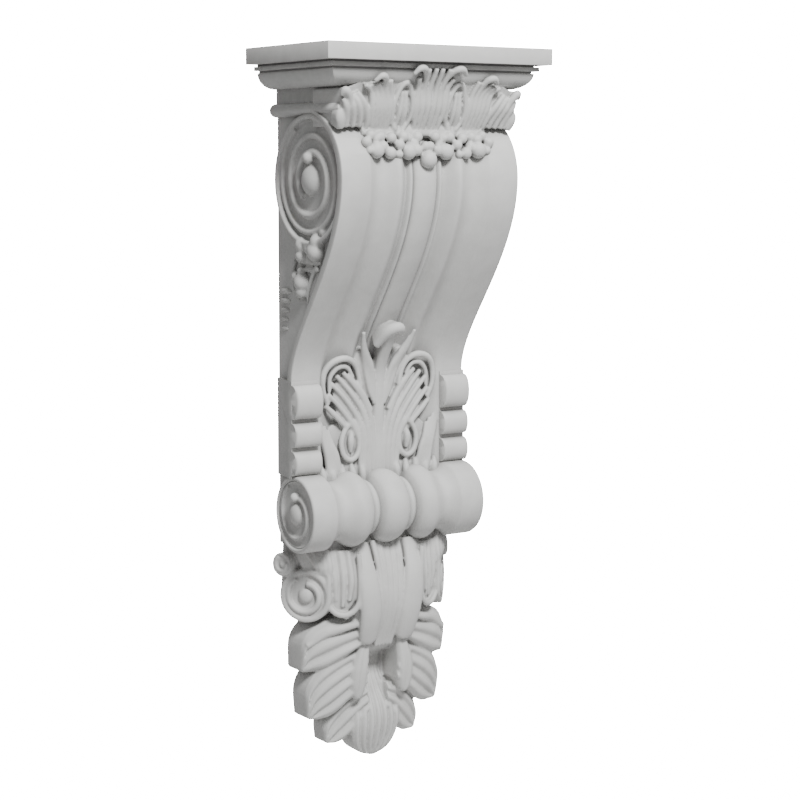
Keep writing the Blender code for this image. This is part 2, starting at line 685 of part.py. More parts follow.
def make_berries():
    """Berries hang from the band in clusters over the flutes, on a bar that fills the space behind them."""
    bar = VOLUTE_DEPTH + 0.8 * VOLUTE_RADIUS
    blade([place(x * PART, bar, level(BAND_FOOT) + 5 * PART) for x in (-60, 0, 60)], 9 * PART, 5 * PART,
          16 * PART, Vector((0, -1, 0.3)), root=0.9, belly=0.9)
    crest = VOLUTE_DEPTH + 0.94 * VOLUTE_RADIUS
    big = ((46, 77), (32, 79), (17, 78), (0, 84))
    small = ((55, 71), (50, 66), (40, 68), (31, 69), (20, 67), (8, 68), (39, 73), (25, 73), (9, 77))
    for side in SIDES:
        for x, drawn in big:
            if x or side > 0:
                depth = crest - 0.3 * flute_sink(x * PART)
                berry(place(side * x * PART, depth, level(drawn)), BERRY_RADIUS, BERRY_ROOT)
        for x, drawn in small:
            depth = crest - 0.25 * (78 - drawn) * PART
            berry(place(side * x * PART, depth, level(drawn)), SMALL_BERRY_RADIUS, BERRY_ROOT)


# Cast

def clear_scene():
    for item in list(bpy.data.objects):
        bpy.data.objects.remove(item)


def add_collection(name):
    collection = bpy.data.collections.new(name)
    bpy.context.scene.collection.children.link(collection)
    return collection


def cast_material():
    material = bpy.data.materials.new("primed polyurethane")
    material.use_nodes = True
    shader = material.node_tree.nodes["Principled BSDF"]
    shader.inputs["Base Color"].default_value = CLAY
    shader.inputs["Roughness"].default_value = CAST_ROUGHNESS
    return material


def box(name, low, high, collection):
    work = bmesh.new()
    bmesh.ops.create_cube(work, size=1)
    bmesh.ops.scale(work, verts=work.verts, vec=high - low)
    bmesh.ops.translate(work, verts=work.verts, vec=(low + high) / 2)
    mesh = bpy.data.meshes.new(name)
    work.to_mesh(mesh)
    work.free()
    shape = bpy.data.objects.new(name, mesh)
    collection.objects.link(shape)
    return shape


def gather(shapes):
    """One mesh of all the shapes as they are evaluated."""
    bpy.context.view_layer.update()
    graph = bpy.context.evaluated_depsgraph_get()
    work = bmesh.new()
    for shape in shapes:
        mesh = bpy.data.meshes.new_from_object(shape.evaluated_get(graph))
        mesh.transform(shape.matrix_world)
        work.from_mesh(mesh)
        bpy.data.meshes.remove(mesh)
    mesh = bpy.data.meshes.new("corbel")
    work.to_mesh(mesh)
    work.free()
    return mesh


def operate(target, operation, shapes, name):
    """A Boolean of target with a collection of shapes, which are hidden from the render."""
    for shape in shapes.objects:
        shape.hide_render = True
        shape.display_type = "WIRE"
    step = target.modifiers.new(name, "BOOLEAN")
    step.operation = operation
    step.operand_type = "COLLECTION"
    step.collection = shapes
    step.solver = "MANIFOLD"


def evaluated(target):
    bpy.context.view_layer.update()
    return bpy.data.meshes.new_from_object(target.evaluated_get(bpy.context.evaluated_depsgraph_get()))


def drop_hollows(mesh):
    """Removes the skins of sealed hollows left between the fused shapes: shells that face inwards."""
    work = bmesh.new()
    work.from_mesh(mesh)
    waiting = set(work.verts)
    hollow = []
    while waiting:
        shell = [waiting.pop()]
        for vertex in shell:
            for edge in vertex.link_edges:
                other = edge.other_vert(vertex)
                if other in waiting:
                    waiting.remove(other)
                    shell.append(other)
        faces = {face for vertex in shell for face in vertex.link_faces}
        if sum(face.calc_center_median().dot(face.normal) * face.calc_area() for face in faces) < 0:
            hollow += shell
    bmesh.ops.delete(work, geom=hollow, context="VERTS")
    work.to_mesh(mesh)
    work.free()


def cast():
    """Fuses the carving, lightens its mesh, joins it to the mouldings and cuts the wall face flat."""
    shapes = list(forms.objects)
    corbel = bpy.data.objects.new("corbel", gather(shapes))
    for shape in shapes:
        bpy.data.objects.remove(shape)
    finished.objects.link(corbel)
    fuse = corbel.modifiers.new("fuse", "REMESH")
    fuse.mode = "VOXEL"
    fuse.voxel_size = VOXEL
    soften = corbel.modifiers.new("soften", "SMOOTH")
    soften.factor = 0.5
    soften.iterations = SOFTEN_STEPS
    triangles = sum(len(face.vertices) - 2 for face in evaluated(corbel).polygons)
    lighten = corbel.modifiers.new("lighten", "DECIMATE")
    lighten.ratio = CARVING_FACES / triangles
    operate(corbel, "UNION", mouldings, "join mouldings")
    box("wall cutter", Vector((-WIDTH, 0, -HEIGHT)), Vector((WIDTH, 0.5 * DEPTH, HEIGHT)), cutters)
    operate(corbel, "DIFFERENCE", cutters, "wall face")
    mesh = evaluated(corbel)
    drop_hollows(mesh)
    corbel.modifiers.clear()
    corbel.data = mesh
    corbel.data.materials.append(cast_material())
    corbel.data.set_sharp_from_angle(angle=math.radians(SHARP_ANGLE))


clear_scene()
finished = add_collection("corbel")
forms = add_collection("carving")
mouldings = add_collection("mouldings")
cutters = add_collection("cutters")
make_abacus()
make_body()
make_side_volutes()
make_side_drops()
make_cushions()
make_middle_leaf()
make_roll()
make_bell()
make_husks()
make_lower_volutes()
make_leaf_drop()
make_band()
make_berries()
cast()
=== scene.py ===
"""Dresses the corbel: one fused cast with its full carving, in factory primer.

Every length in this file is in millimetres until at() or MM turns it to metres. The wall face is the
plane y = 0 and the front looks along -Y. A drop is a distance down from the top, a depth one out from
the wall, and side is -1 for the left half and 1 for the right one.
"""
import json
import math

import bmesh
import bpy
from bpy.props import FloatProperty, FloatVectorProperty, IntProperty, PointerProperty
from mathutils import Matrix, Vector

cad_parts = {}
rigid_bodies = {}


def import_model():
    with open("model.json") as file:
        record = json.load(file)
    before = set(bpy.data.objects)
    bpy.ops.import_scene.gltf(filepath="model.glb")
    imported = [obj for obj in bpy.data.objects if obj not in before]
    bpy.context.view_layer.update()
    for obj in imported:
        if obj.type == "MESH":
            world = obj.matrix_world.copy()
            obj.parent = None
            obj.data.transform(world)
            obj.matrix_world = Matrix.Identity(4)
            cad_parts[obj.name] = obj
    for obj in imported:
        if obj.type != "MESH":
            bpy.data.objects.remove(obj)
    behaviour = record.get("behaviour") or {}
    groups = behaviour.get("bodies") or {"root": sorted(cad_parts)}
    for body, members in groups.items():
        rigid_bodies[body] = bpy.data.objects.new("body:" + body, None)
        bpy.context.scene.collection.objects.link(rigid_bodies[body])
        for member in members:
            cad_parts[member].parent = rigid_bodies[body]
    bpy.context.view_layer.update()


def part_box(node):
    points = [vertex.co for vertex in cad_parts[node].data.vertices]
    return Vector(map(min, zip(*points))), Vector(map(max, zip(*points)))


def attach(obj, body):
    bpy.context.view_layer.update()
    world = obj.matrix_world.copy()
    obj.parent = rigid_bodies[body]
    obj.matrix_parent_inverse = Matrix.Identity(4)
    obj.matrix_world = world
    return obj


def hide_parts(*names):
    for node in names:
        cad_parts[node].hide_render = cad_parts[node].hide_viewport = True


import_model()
LOWEST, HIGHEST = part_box("corbel")

bl_info = {
    "name": "Scroll corbel",
    "version": (1, 0, 0),
    "blender": (4, 5, 0),
    "location": "3D View > Sidebar > Corbel",
    "description": "A moulded scroll corbel with acanthus carving, cast in polyurethane and primed",
    "category": "Add Mesh",
}

MM = 0.001
TOP = HIGHEST.z
HALF_WIDTH = HIGHEST.x / MM
DEPTH = -LOWEST.y / MM
HEIGHT = 560
PAST_WALL = 4

# Abacus courses from the top down, with how far each steps in under the one above
FASCIA, FASCIA_STEP = 12.4, 7.1
FILLET, FILLET_STEP, FILLET_GROOVE = 6.2, 2.9, 1.5
OVOLO, OVOLO_STEP = 12.2, 15
THROAT, THROAT_STEP = 10.7, 1.5
BEAD, BEAD_SWELL = 10.5, 6
ABACUS_FOOT = FASCIA + FILLET + OVOLO + THROAT + BEAD
THROAT_HALF = HALF_WIDTH - FASCIA_STEP - FILLET_STEP - OVOLO_STEP - THROAT_STEP
BAND_FOOT = ABACUS_FOOT + 8

# Scroll body
HALF_BODY = 79.5
PANEL_RECESS = 6.9
PANEL = HALF_BODY - PANEL_RECESS
EDGE_STRIP = 7.5
ARRIS = 1.1
VOLUTE_RADIUS, VOLUTE_DEPTH, VOLUTE_DROP, VOLUTE_BOSS = 50.7, 54.5, 98, 12
CREST_PULL, WAIST_PULL = 62, 38
WAIST_DEPTH, WAIST_DROP = 31, 252

# Flutes across the front
STRIP_INNER = 55
COVE_INNER, COVE_SINK, CREST_SINK = 27.5, 7.6, 1.5
GROOVE_SINK, REED_OUTER, REED_SINK, QUIRK = 11.5, 10.5, 6.2, 5.5

# Cushions and roll
CUSHION_INNER, CUSHION_OUTER, CUSHION_SWELL, LEDGE = 57, 80.2, 11, 3
ROLL_RADIUS, ROLL_DEPTH, ROLL_DROP, ROLL_HALF = 29.8, 33.6, 354.7, 79
ROLL_DRUM, ROLL_COVE, ROLL_BEAD, ROLL_FILLET = 21, 11, 26.5, 7.5
ROLL_NECK, ROLL_GROOVE, ROLL_DISH = 23, 19.5, 3
ROLL_TOP = ROLL_DROP - ROLL_RADIUS
ROLL_OVERLAP = 2.5
BODY_FOOT = ROLL_TOP + ROLL_OVERLAP
BACKING_DEPTH = 28.5
BELL_TOP = ROLL_DROP + ROLL_RADIUS

# Bell of husks and the stem below it
BELL_HALF, BELL_DEPTH, BELL_THROAT = 69, 46, 37
BELL_FOOT, BELL_FOOT_HALF, BELL_FOOT_DEPTH = 466, 25, 34
STEM_HALF, STEM_DEPTH, STEM_FOOT = 18, 15, HEIGHT - 30
LOW_VOLUTE_RADIUS, LOW_VOLUTE_DROP, LOW_VOLUTE_DEPTH, LOW_VOLUTE_SIDE = 21, 421.5, 23, 63

OUT = Vector((0, -1, 0))
UP = Vector((0, 0, 1))
SIDES = (-1, 1)
SHARP_ANGLE = 48


def linear(hex_colour):
    """The linear RGB of an sRGB hex colour."""
    parts = [int(hex_colour[k:k + 2], 16) / 255 for k in (0, 2, 4)]
    return tuple(c / 12.92 if c <= 0.04045 else ((c + 0.055) / 1.055) ** 2.4 for c in parts)


def at(x, depth, drop):
    return Vector((x * MM, -depth * MM, TOP - drop * MM))


def mirrored(side, *spots):
    """The spots, each of which starts with its x, on one side."""
    return [(side * spot[0], *spot[1:]) for spot in spots]


def ease(share):
    """0 to 1 with level ends."""
    share = min(max(share, 0.0), 1.0)
    return share * share * (3 - 2 * share)


def between(first, last, share):
    return first + (last - first) * share


def bezier(a, b, c, d, t):
    s = 1 - t
    return a * s ** 3 + 3 * b * s * s * t + 3 * c * s * t * t + d * t ** 3


def smooth_path(points, steps):
    """Points along the Catmull-Rom curve through the given ones."""
    knots = [points[0] * 2 - points[1]] + list(points) + [points[-1] * 2 - points[-2]]
    path = []
    for step in range(steps + 1):
        along = step / steps * (len(points) - 1)
        k = min(int(along), len(points) - 2)
        t = along - k
        a, b, c, d = knots[k:k + 4]
        path.append(0.5 * (2 * b + (c - a) * t + (2 * a - 5 * b + 4 * c - d) * t * t
                           + (3 * b - a - 3 * c + d) * t ** 3))
    return path


# Working collections and meshes

def bench(name):
    """The collection of that name, which holds shapes until they are cast."""
    if name not in bpy.data.collections:
        bpy.context.scene.collection.children.link(bpy.data.collections.new(name))
    return bpy.data.collections[name]


def add_mesh(name, vertices, edges, faces, collection):
    mesh = bpy.data.meshes.new(name)
    mesh.from_pydata([tuple(v) for v in vertices], edges, faces)
    shape = bpy.data.objects.new(name, mesh)
    bench(collection).objects.link(shape)
    return shape


def face_outwards(mesh):
    work = bmesh.new()
    work.from_mesh(mesh)
    bmesh.ops.recalc_face_normals(work, faces=work.faces)
    work.to_mesh(mesh)
    work.free()


def loft(name, rings, collection="carving"):
    """One closed skin through rings of as many points each, capped at both ends."""
    count = len(rings[0])
    vertices = [v for ring in rings for v in ring]
    faces = [tuple(range(count)), tuple(range(len(vertices) - count, len(vertices)))]
    for row in range(len(rings) - 1):
        for k in range(count):
            a = row * count + k
            b = row * count + (k + 1) % count
            faces.append((a, b, b + count, a + count))
    shape = add_mesh(name, vertices, [], faces, collection)
    face_outwards(shape.data)
    return shape


def blade(points, half_width, crown, sink, out=OUT, lobes=1, groove=0.0, root=0.5, belly=0.5, steps=22,
          to_wall=False, blunt=0.42):
    """A leaf along a path: domed towards out, with lobes parted by grooves, round at its tip.

    root is its width at the start as a share of half_width, and belly the share of its length where
    it is widest. It reaches sink behind the path, so that it merges with what carries it, or with
    to_wall it stands square off the wall like a leaf drawn from a mould.
    """
    path = smooth_path(points, steps)
    across = 8 + 8 * lobes
    rings = []
    for step, centre in enumerate(path):
        t = step / steps
        along = (path[min(step + 1, steps)] - path[max(step - 1, 0)]).normalized()
        normal = (out - along * out.dot(along)).normalized()
        sideways = along.cross(normal)
        if t < belly:
            wide = between(root, 1.0, ease(t / belly))
        else:
            wide = max(1 - ((t - belly) / (1 - belly)) ** 2.6, 0.01) ** blunt
        width = half_width * MM * wide
        dome = crown * (0.35 + 0.65 * wide)
        ring = []
        for k in range(across + 1):
            s = 2 * k / across - 1
            lift = dome * math.sqrt(max(1 - s * s, 0))
            if lobes > 1 and abs(s) < 0.98:
                lift -= groove * wide * (0.5 + 0.5 * math.cos(math.pi * lobes * (s + 1))) ** 1.6
            ring.append(centre + sideways * (s * width) + normal * lift * MM)
        if to_wall:
            feet = [between(v, centre, 0.1) for v in (ring[-1], ring[0])]
            ring += [Vector((v.x, PAST_WALL * MM, v.z)) for v in feet]
        else:
            ring += [centre + sideways * (s * width) - normal * sink * MM for s in (0.8, -0.8)]
        rings.append(ring)
    loft("blade", rings)


# Node trees

def add_node(tree, kind, inputs=None, **settings):
    """One node with its settings, each input given a value or a link from another node's socket."""
    node = tree.nodes.new(kind)
    for name, value in settings.items():
        setattr(node, name, value)
    for key, value in (inputs or {}).items():
        if isinstance(value, bpy.types.NodeSocket):
            tree.links.new(value, node.inputs[key])
        else:
            node.inputs[key].default_value = value
    return node


def shape_tree(name, **sizes):
    """A Geometry Nodes tree with a geometry input, sizes of the socket kinds given, and a material."""
    tree = bpy.data.node_groups.new(name, "GeometryNodeTree")
    tree.interface.new_socket("Geometry", in_out="INPUT", socket_type="NodeSocketGeometry")
    for size, kind in sizes.items():
        tree.interface.new_socket(size, in_out="INPUT", socket_type="NodeSocket" + kind)
    tree.interface.new_socket("Material", in_out="INPUT", socket_type="NodeSocketMaterial")
    tree.interface.new_socket("Geometry", in_out="OUTPUT", socket_type="NodeSocketGeometry")
    return tree, add_node(tree, "NodeGroupInput").outputs


def close_tree(tree, given, shape):
    """Ends the tree: instances made real, and the material set."""
    real = add_node(tree, "GeometryNodeRealizeInstances", {"Geometry": shape})
    coated = add_node(tree, "GeometryNodeSetMaterial", {"Geometry": real.outputs[0],
                                                        "Material": given["Material"]})
    add_node(tree, "NodeGroupOutput", {0: coated.outputs[0]})
    return tree


def add_ridge(tree, line, sides, scale):
    """A round ridge along a curve, as thick as scale says."""
    section = add_node(tree, "GeometryNodeCurvePrimitiveCircle", {"Resolution": sides, "Radius": 1.0})
    ridge = add_node(tree, "GeometryNodeCurveToMesh", {"Curve": line, "Profile Curve": section.outputs[0],
                                                       "Scale": scale, "Fill Caps": True})
    return ridge.outputs[0]


def strand_tree():
    """A round strand along every chain of edges, as thick as the attribute "thickness" says."""
    tree, given = shape_tree("Strands", Sides="Int", Fullness="Float")
    line = add_node(tree, "GeometryNodeMeshToCurve", {"Mesh": given["Geometry"]})
    thickness = add_node(tree, "GeometryNodeInputNamedAttribute", {"Name": "thickness"}, data_type="FLOAT")
    scale = add_node(tree, "ShaderNodeMath", {0: thickness.outputs[0], 1: given["Fullness"]},
                     operation="MULTIPLY")
    return close_tree(tree, given, add_ridge(tree, line.outputs[0], given["Sides"], scale.outputs[0]))


def berry_tree():
    """A ball on every point, with the radius that the attribute "thickness" says."""
    tree, given = shape_tree("Berries")
    thickness = add_node(tree, "GeometryNodeInputNamedAttribute", {"Name": "thickness"}, data_type="FLOAT")
    ball = add_node(tree, "GeometryNodeMeshIcoSphere", {"Radius": 1.0, "Subdivisions": 4})
    spots = add_node(tree, "GeometryNodeMeshToPoints", {"Mesh": given["Geometry"]})
    balls = add_node(tree, "GeometryNodeInstanceOnPoints", {"Points": spots.outputs[0],
                                                            "Instance": ball.outputs[0],
                                                            "Scale": thickness.outputs[0]})
    return close_tree(tree, given, balls.outputs[0])


def volute_tree():
    """A ridge that winds inwards from Outer to Inner, its half thickness going from First to Last."""
    tree, given = shape_tree("Volute", Turns="Float", Outer="Float", Inner="Float", First="Float",
                             Last="Float")
    spiral = add_node(tree, "GeometryNodeCurveSpiral", {"Resolution": 64, "Rotations": given["Turns"],
                                                        "Start Radius": given["Outer"],
                                                        "End Radius": given["Inner"], "Height": 0.0})
    along = add_node(tree, "GeometryNodeSplineParameter").outputs["Factor"]
    scale = add_node(tree, "ShaderNodeMapRange", {"Value": along, "To Min": given["First"],
                                                  "To Max": given["Last"]})
    return close_tree(tree, given, add_ridge(tree, spiral.outputs[0], 14, scale.outputs[0]))


def rib_tree():
    """Ribs in a column, each Shrink times the size of the one before and an instance of one rib."""
    tree, given = shape_tree("Side ribs", Count="Int", Pitch="Float", Shrink="Float")
    step = add_node(tree, "ShaderNodeCombineXYZ", {"Z": given["Pitch"]})
    column = add_node(tree, "GeometryNodeMeshLine", {"Count": given["Count"], "Offset": step.outputs[0]})
    index = add_node(tree, "GeometryNodeInputIndex")
    size = add_node(tree, "ShaderNodeMath", {0: given["Shrink"], 1: index.outputs[0]}, operation="POWER")
    ribs = add_node(tree, "GeometryNodeInstanceOnPoints", {"Points": column.outputs[0],
                                                           "Instance": given["Geometry"],
                                                           "Scale": size.outputs[0]})
    return close_tree(tree, given, ribs.outputs[0])


def grow(source, tree, placing=None, **sizes):
    """Runs a tree on a shape and leaves the result on the bench as a plain mesh."""
    sockets = {item.name: item.identifier for item in tree.interface.items_tree if item.in_out == "INPUT"}
    step = source.modifiers.new(tree.name, "NODES")
    step.node_group = tree
    for name, value in sizes.items():
        step[sockets[name]] = value
    step[sockets["Material"]] = primer_coat()
    mesh = evaluated_mesh(source)
    if placing:
        mesh.transform(placing)
    face_outwards(mesh)
    bpy.data.objects.remove(source)
    bench("carving").objects.link(bpy.data.objects.new(tree.name, mesh))


def tree_named(name, make):
    return bpy.data.node_groups.get(name) or make()


def add_thick(name, vertices, edges, radii):
    """A mesh of points or chains that carries its radii in the attribute "thickness"."""
    shape = add_mesh(name, vertices, edges, [], "carving")
    thickness = shape.data.attributes.new("thickness", "FLOAT", "POINT")
    thickness.data.foreach_set("value", [radius * MM for radius in radii])
    return shape


def berries(spots):
    """Balls at (place, radius)."""
    shape = add_thick("berries", [spot for spot, _ in spots], [], [radius for _, radius in spots])
    grow(shape, tree_named("Berries", berry_tree))


def strands(paths, sides=12, steps=20):
    """Round strands along (points, first radius, middle radius, last radius)."""
    vertices, edges, radii = [], [], []
    for points, first, middle, last in paths:
        start = len(vertices)
        for k, spot in enumerate(smooth_path(points, steps)):
            share = k / steps
            vertices.append(spot)
            if share < 0.5:
                radii.append(between(first, middle, ease(2 * share)))
            else:
                radii.append(between(middle, last, ease(2 * share - 1)))
        edges += [(k, k + 1) for k in range(start, len(vertices) - 1)]
    grow(add_thick("strands", vertices, edges, radii), tree_named("Strands", strand_tree), Sides=sides,
         Fullness=bpy.context.scene.corbel.strand_fullness)


def scroll(centre, out, radius, rim, turns, ridge, boss, back, hand=1):
    """A round scroll facing out: a dished disc, a flat rim (width, height), a ridge that winds inwards from
    it and thickens on the way, and a domed boss."""
    out = out.normalized()
    up = (UP - out * UP.dot(out)).normalized()
    right = up.cross(out) * hand
    placing = Matrix((right, up, out)).transposed().to_4x4()
    placing.translation = centre
    spokes = 72
    rim_width, rim_height = rim
    soft = 0.22 * rim_width
    inner = radius - rim_width
    disc = [(0.01, 0), (inner - soft, 0), (inner, rim_height - soft), (inner + soft, rim_height),
            (radius - soft, rim_height), (radius, rim_height - soft), (radius, -back)]
    dome = [(boss * math.sin(math.pi / 2 * k / 8) + 0.01, 0.6 * boss * math.cos(math.pi / 2 * k / 8))
            for k in range(9)] + [(boss, -back)]
    for profile in (disc, dome):
        loft("scroll ground", [[placing @ (Vector((math.cos(2 * math.pi * k / spokes) * r,
                                                   math.sin(2 * math.pi * k / spokes) * r, height)) * MM)
                                for k in range(spokes)] for r, height in profile])
    seed = add_mesh("volute", [], [], [], "carving")
    lift = Matrix.Translation(Vector((0, 0, 0.45 * ridge * MM)))
    turned = lift @ Matrix.Rotation(math.radians(60), 4, "Z")
    grow(seed, tree_named("Volute", volute_tree), placing @ turned, Turns=turns,
         Outer=(inner - 0.6 * ridge) * MM, Inner=(boss + 1.6 * ridge) * MM, First=0.9 * ridge * MM,
         Last=1.2 * ridge * MM)


# Crisp mouldings

def abacus_courses():
    """(drop, half width) down the moulding, with the ovolo and the bead as arcs."""
    half = HALF_WIDTH
    courses = [(0, half), (FASCIA, half)]
    drop = FASCIA
    half -= FASCIA_STEP
    courses += [(drop, half - FILLET_STEP), (drop + FILLET_GROOVE, half - FILLET_STEP),
                (drop + FILLET_GROOVE, half), (drop + FILLET - FILLET_GROOVE, half)]
    half -= FILLET_STEP
    courses += [(drop + FILLET - FILLET_GROOVE, half - FILLET_GROOVE), (drop + FILLET, half - FILLET_GROOVE)]
    drop += FILLET
    courses.append((drop, half))
    for k in range(1, 15):
        turn = math.pi / 2 * k / 14
        courses.append((drop + OVOLO * math.sin(turn), half - OVOLO_STEP * (1 - math.cos(turn))))
    drop += OVOLO
    courses += [(drop, THROAT_HALF), (drop + THROAT, THROAT_HALF)]
    drop += THROAT
    for k in range(1, 18):
        turn = math.pi * k / 18
        courses.append((drop + BEAD * (1 - math.cos(turn)) / 2, THROAT_HALF + BEAD_SWELL * math.sin(turn)))
    courses.append((drop + BEAD, THROAT_HALF))
    return courses


def make_abacus():
    rings = []
    for drop, half in abacus_courses():
        depth = DEPTH - (HALF_WIDTH - half)
        rings.append([at(-half, -PAST_WALL, drop), at(half, -PAST_WALL, drop),
                      at(half, depth, drop), at(-half, depth, drop)])
    abacus = loft("abacus", rings, "mouldings")
    soft = abacus.modifiers.new("soft arris", "BEVEL")
    soft.width = 0.5 * MM
    soft.segments = 2
    soft.limit_method = "ANGLE"
    soft.angle_limit = math.radians(40)


def front_depth(drop):
    """Depth of the edge strips: round the volute above its middle, then one S curve to the waist."""
    if drop <= VOLUTE_DROP:
        rise = min(VOLUTE_DROP - drop, VOLUTE_RADIUS * 0.98)
        return VOLUTE_DEPTH + math.sqrt(VOLUTE_RADIUS ** 2 - rise ** 2)
    if drop >= WAIST_DROP:
        return WAIST_DEPTH
    low, high = 0.0, 1.0
    for _ in range(30):
        t = (low + high) / 2
        here = bezier(VOLUTE_DROP, VOLUTE_DROP + CREST_PULL, WAIST_DROP - WAIST_PULL, WAIST_DROP, t)
        low, high = (t, high) if here < drop else (low, t)
    crest = VOLUTE_DEPTH + VOLUTE_RADIUS
    return bezier(crest, crest, WAIST_DEPTH, WAIST_DEPTH, t)


def flute_sink(x):
    """How far the front lies behind the edge strips at x: a cove, a crest, a quirk and the middle reed."""
    x = abs(x)
    if x >= STRIP_INNER:
        return 0.0
    if x >= COVE_INNER:
        share = (x - COVE_INNER) / (STRIP_INNER - COVE_INNER)
        return between(CREST_SINK, 0, share) + COVE_SINK * math.sin(math.pi * share) ** 1.2
    groove = REED_OUTER + QUIRK
    if x >= groove:
        return between(GROOVE_SINK, CREST_SINK, ease((x - groove) / (COVE_INNER - groove)))
    if x >= REED_OUTER:
        return GROOVE_SINK - 0.55 * QUIRK * math.sin(math.pi * (x - REED_OUTER) / QUIRK)
    return GROOVE_SINK - (GROOVE_SINK - REED_SINK) * math.sqrt(1 - (x / REED_OUTER) ** 2)


def body_columns():
    """Distances from the middle where the front is sampled: closer where it curves more."""
    columns = [REED_OUTER * math.sin(math.pi / 2 * k / 7) for k in range(1, 8)]
    for first, last, count in ((REED_OUTER, REED_OUTER + QUIRK, 7), (REED_OUTER + QUIRK, COVE_INNER, 8),
                               (COVE_INNER, STRIP_INNER, 14)):
        columns += [between(first, last, k / count) for k in range(1, count + 1)]
    return columns


def make_body():
    rings = []
    levels = 84
    first = ABACUS_FOOT - 0.5 * BEAD
    columns = body_columns()
    for level in range(levels + 1):
        drop = between(first, BODY_FOOT, level / levels)
        depth = front_depth(drop)
        edge = max(depth - EDGE_STRIP, 0.3 * depth)
        half = [at(x, depth - flute_sink(x), drop) for x in columns]
        for k in range(5):
            turn = math.pi / 2 * k / 4
            half.append(at(HALF_BODY - ARRIS * (1 - math.sin(turn)), depth - ARRIS * (1 - math.cos(turn)),
                           drop))
        half += [at(HALF_BODY, edge + ARRIS, drop), at(HALF_BODY - 0.3 * ARRIS, edge + 0.3 * ARRIS, drop),
                 at(HALF_BODY - ARRIS, edge, drop), at(PANEL + 0.6, edge - 0.24 * PANEL_RECESS, drop),
                 at(PANEL, edge - 0.42 * PANEL_RECESS, drop), at(PANEL, -PAST_WALL, drop)]
        left = [Vector((-v.x, v.y, v.z)) for v in reversed(half)]
        rings.append(left + [at(0, depth - flute_sink(0), drop)] + half)
    loft("scroll body", rings, "mouldings")


def make_cushions():
    rows = (1.35, 1.0, 1.0)
    unit = (ROLL_TOP - WAIST_DROP) / sum(rows)
    outline = [(-PAST_WALL, WAIST_DROP)]
    drop = WAIST_DROP
    arc = 18
    for row in rows:
        swell = CUSHION_SWELL * (0.3 + 0.52 * row)
        height = row * unit
        outline += [(WAIST_DEPTH + 0.1 * swell, drop), (WAIST_DEPTH + 0.1 * swell, drop + LEDGE)]
        for k in range(arc + 1):
            turn = math.pi * k / arc
            share = (1 - math.cos(turn)) / 2
            outline.append((WAIST_DEPTH + swell * math.sin(turn) ** 0.7,
                            drop + LEDGE + (height - LEDGE) * share))
        drop += height
    outline += [(WAIST_DEPTH, BODY_FOOT), (-PAST_WALL, BODY_FOOT)]
    for side in SIDES:
        rings = []
        for x, inset, draft in ((CUSHION_INNER, 0.12, 0), (CUSHION_INNER + 0.8, 0.03, 0),
                                (CUSHION_INNER + 2.2, 0, 0), (CUSHION_OUTER - 2.6, 0, PANEL_RECESS),
                                (CUSHION_OUTER - 0.9, 0.04, PANEL_RECESS),
                                (CUSHION_OUTER, 0.17, PANEL_RECESS)):
            rings.append([at(side * (x - draft * (depth < 0)),
                             depth - inset * max(depth - WAIST_DEPTH, 0), level)
                          for depth, level in outline])
        loft("cushions", rings, "mouldings")


def roll_profile():
    """(x, radius) along the right half of the turned roll: drum, cove, bell-shaped bead, fillet, bead."""
    drum = ROLL_HALF - ROLL_DRUM
    neck = drum - ROLL_COVE
    bead = neck - ROLL_BEAD
    fillet = bead - ROLL_FILLET
    dish = ROLL_HALF - ROLL_DISH
    full = ROLL_RADIUS
    peak = 0.55
    profile = [(dish, 0), (dish, full - 4), (ROLL_HALF - 0.5, full - 3.2), (ROLL_HALF, full - 2.6),
               (ROLL_HALF, full - 1.4), (ROLL_HALF - 0.5, full - 0.5), (ROLL_HALF - 1.6, full),
               (drum + 0.8, full), (drum, full - 0.25)]
    for k in range(1, 9):
        share = k / 8
        swell = math.sin(math.pi / 2 * share)
        profile.append((between(drum, neck, share), between(full - 0.4, ROLL_NECK, swell)))
    for k in range(1, 19):
        share = k / 18
        swell = ease(share / peak) if share < peak else math.sqrt(1 - ((share - peak) / 0.45) ** 2)
        foot = ROLL_NECK if share < peak else ROLL_GROOVE
        profile.append((between(neck, bead, share), between(foot, full, swell)))
    for k in range(1, 6):
        share = k / 5
        profile.append((between(bead, fillet, share), ROLL_GROOVE + 2.5 * math.sin(math.pi * share)))
    for k in range(1, 11):
        share = math.sin(math.pi / 2 * k / 10)
        swell = math.sqrt(1 - (1 - share) ** 2)
        profile.append((fillet * (1 - share), between(ROLL_GROOVE, full - 0.5, swell)))
    return profile


def make_roll():
    half = roll_profile()
    profile = half + [(-x, radius) for x, radius in reversed(half[:-1])]
    roll = add_mesh("roll", [(x * MM, 0, radius * MM) for x, radius in profile],
                    [(k, k + 1) for k in range(len(profile) - 1)], [], "mouldings")
    roll.location = at(0, ROLL_DEPTH, ROLL_DROP)
    turn = roll.modifiers.new("turn", "SCREW")
    turn.axis = "X"
    turn.steps = turn.render_steps = 96
    turn.use_merge_vertices = True
    turn.merge_threshold = 0.01 * MM
    rings = []
    for drop in (ROLL_TOP - ROLL_OVERLAP, ROLL_DROP, BELL_TOP - ROLL_OVERLAP):
        rings.append([at(x, depth, drop) for x, depth in
                      ((-PANEL, -PAST_WALL), (PANEL, -PAST_WALL), (PANEL, BACKING_DEPTH),
                       (-PANEL, BACKING_DEPTH))])
    loft("roll backing", rings)


# Scrolls and drops on the sides

